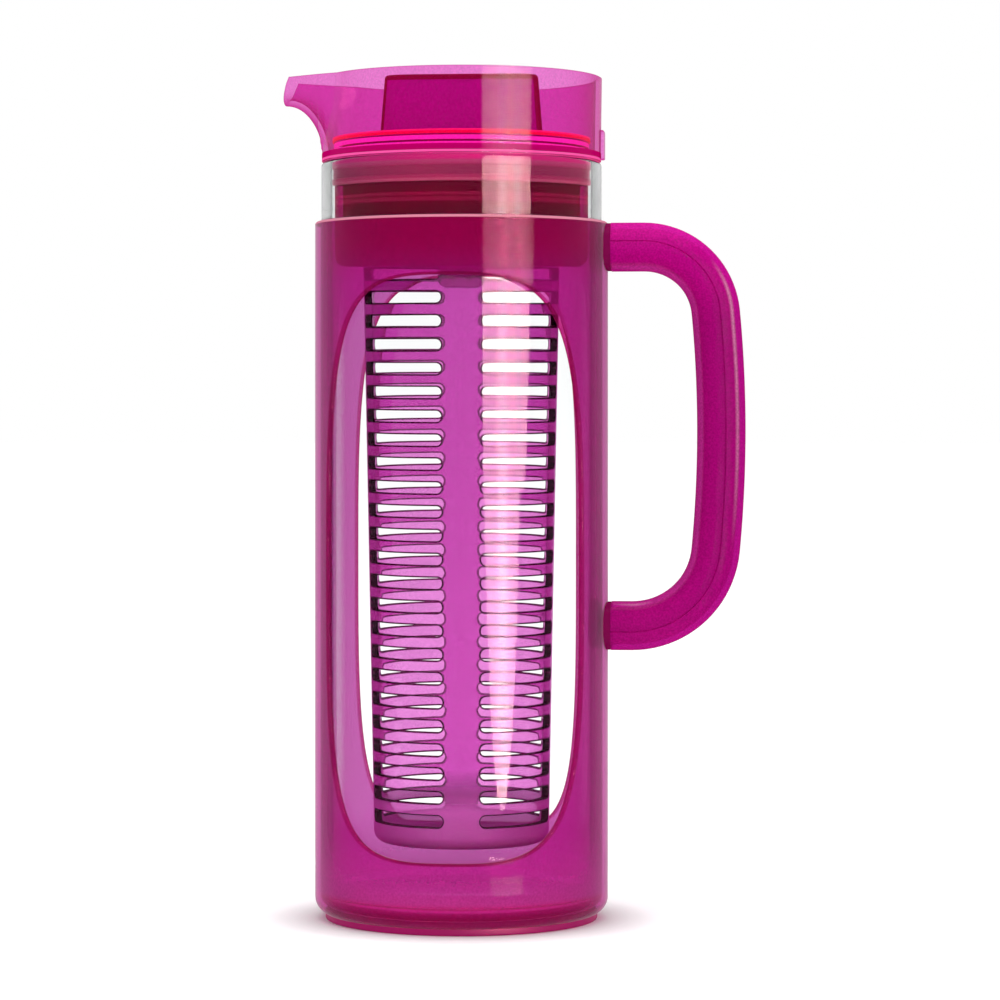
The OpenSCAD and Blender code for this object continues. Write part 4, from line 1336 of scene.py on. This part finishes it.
def make_lamps(scene):
    """Four lamps that the plastic mirrors as a peach strip on its right, and a wide one overhead."""

    def lamp(name, place, target, width, height, power, shine=None, shape="RECTANGLE"):
        """A lamp turned from its place to its target; with a shine it is only seen in reflections."""
        data = bpy.data.lights.new(name, "AREA")
        data.shape = shape
        data.size, data.size_y, data.energy = width, height, power
        obj = bpy.data.objects.new(name, data)
        scene.collection.objects.link(obj)
        way = np.array(target) - np.array(place)
        obj.location = place
        obj.rotation_euler = (math.atan2(math.hypot(way[0], way[1]), -way[2]), 0, math.atan2(-way[0], way[1]))
        if shine is not None:
            data.color = shine
            obj.visible_diffuse = obj.visible_transmission = False
        obj.visible_camera = False

    def beside(degrees, distance, height):
        """A place round the object, by its angle to the right of the camera's line."""
        a = math.radians(-90 + CAMERA_TURN + degrees)
        return (distance * math.cos(a), distance * math.sin(a), height)

    peach = (1.0, 0.56, 0.57)
    lamp("strip core", beside(31.0, 0.305, 0.157), (0, 0, 0.157), 0.037, 0.31, 2.6, peach)
    lamp("strip wide", beside(30.5, 0.285, 0.25), (0, 0, 0.25), 0.155, 0.5, 12.0, peach, "ELLIPSE")
    lamp("strip high", beside(46.5, 0.285, 0.34), (0, 0, 0.34), 0.075, 0.4, 4.4, peach, "ELLIPSE")
    lamp("strip foot", beside(29.5, 0.138, 0.0038), (0, 0, 0.005), 0.053, 0.0076, 0.055, peach)
    lamp("overhead", (0.1, -0.3, 2.2), (0, 0, 0), 1.8, 1.8, 14.0)


def make_camera(scene):
    """The camera, level and a little to the right, with the shift that frames the object."""
    distance, height, a = 1.1745, 0.165, math.radians(CAMERA_TURN)
    data = bpy.data.cameras.new("camera")
    data.lens, data.sensor_width = 126.0, 36.0
    data.shift_x, data.shift_y = 0.0385, -0.075
    data.clip_start, data.clip_end = 0.05, 200
    camera = bpy.data.objects.new("camera", data)
    scene.collection.objects.link(camera)
    camera.location = (distance * math.sin(a), -distance * math.cos(a), height)
    camera.rotation_euler = (math.pi / 2, 0, a)
    scene.camera = camera


def make_stage():
    """A plain pale floor, a white surround, soft lamps, and the camera at the photograph's place."""
    scene = bpy.context.scene
    scene.view_settings.view_transform = "Standard"
    scene.cycles.transparent_max_bounces = 64
    scene.cycles.transmission_bounces = 48
    scene.cycles.max_bounces = 64
    make_floor(scene)
    make_surround(scene)
    make_lamps(scene)
    make_camera(scene)


# Operators


def operator(idname, label, about, make):
    """An operator that makes one piece or one group of like pieces."""

    def execute(self, context):
        """Makes it, and lets any error stop the script."""
        make()
        return {"FINISHED"}

    name = "PITCHER_OT_" + idname.split(".")[1]
    return type(name, (bpy.types.Operator,), {
        "__doc__": about, "bl_idname": idname, "bl_label": label, "bl_options": {"REGISTER"},
        "execute": execute,
    })


OPERATORS = [
    operator("pitcher.sleeve", "Sleeve", "Makes the sleeve with its two windows", make_sleeve),
    operator("pitcher.pads", "Handle pads", "Makes the two pads that carry the handle", make_pads),
    operator("pitcher.handle", "Handle", "Makes the handle's inner and outer shell", make_handle),
    operator("pitcher.foot", "Foot ring", "Makes the ring under the sleeve", make_foot),
    operator("pitcher.carafe", "Carafe", "Makes the clear carafe", make_carafe),
    operator("pitcher.collar", "Collar", "Makes the collar with its spout and its tab", make_collar),
    operator("pitcher.plug", "Plug", "Makes the plug in the carafe's neck", make_plug),
    operator("pitcher.gasket", "Gasket", "Makes the ribbed gasket", make_gasket),
    operator("pitcher.stopper", "Stopper", "Makes the stopper's body and its seal", make_stopper),
    operator("pitcher.cap", "Cap", "Makes the disc, the grip and the valve's skirt", make_cap),
    operator("pitcher.infuser", "Infuser", "Makes the slotted infuser with its pads and lugs", make_infuser),
    operator("pitcher.stage", "Studio", "Makes the floor, the lamps and the camera", make_stage),
]


class PITCHER_PT_panel(bpy.types.Panel):
    """Lists the pitcher's pieces, sizes and colours."""

    bl_label = "Infuser pitcher"
    bl_idname = "PITCHER_PT_panel"
    bl_space_type = "VIEW_3D"
    bl_region_type = "UI"
    bl_category = "Pitcher"

    def draw(self, context):
        """A button for each operator, and a box with the values of each group."""
        for kind in OPERATORS:
            self.layout.operator(kind.bl_idname)
        for group in (context.scene.pitcher_sizes, context.scene.pitcher_colours):
            box = self.layout.box()
            for name in group.bl_rna.properties.keys():
                if name not in ("rna_type", "name"):
                    box.prop(group, name)


CLASSES = [PitcherSizes, PitcherColours, *OPERATORS, PITCHER_PT_panel]


def register():
    """Makes the classes known, and hangs the two groups on the scene."""
    for kind in CLASSES:
        bpy.utils.register_class(kind)
    bpy.types.Scene.pitcher_sizes = PointerProperty(type=PitcherSizes)
    bpy.types.Scene.pitcher_colours = PointerProperty(type=PitcherColours)


def unregister():
    """Takes back what register did."""
    del bpy.types.Scene.pitcher_sizes
    del bpy.types.Scene.pitcher_colours
    for kind in reversed(CLASSES):
        bpy.utils.unregister_class(kind)


def main():
    """Registers the classes, makes every piece, and writes the CAD's and the dressed model's box."""
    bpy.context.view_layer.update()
    register()
    for kind in OPERATORS:
        group, name = kind.bl_idname.split(".")
        getattr(getattr(bpy.ops, group), name)()


if __name__ == "__main__":
    main()
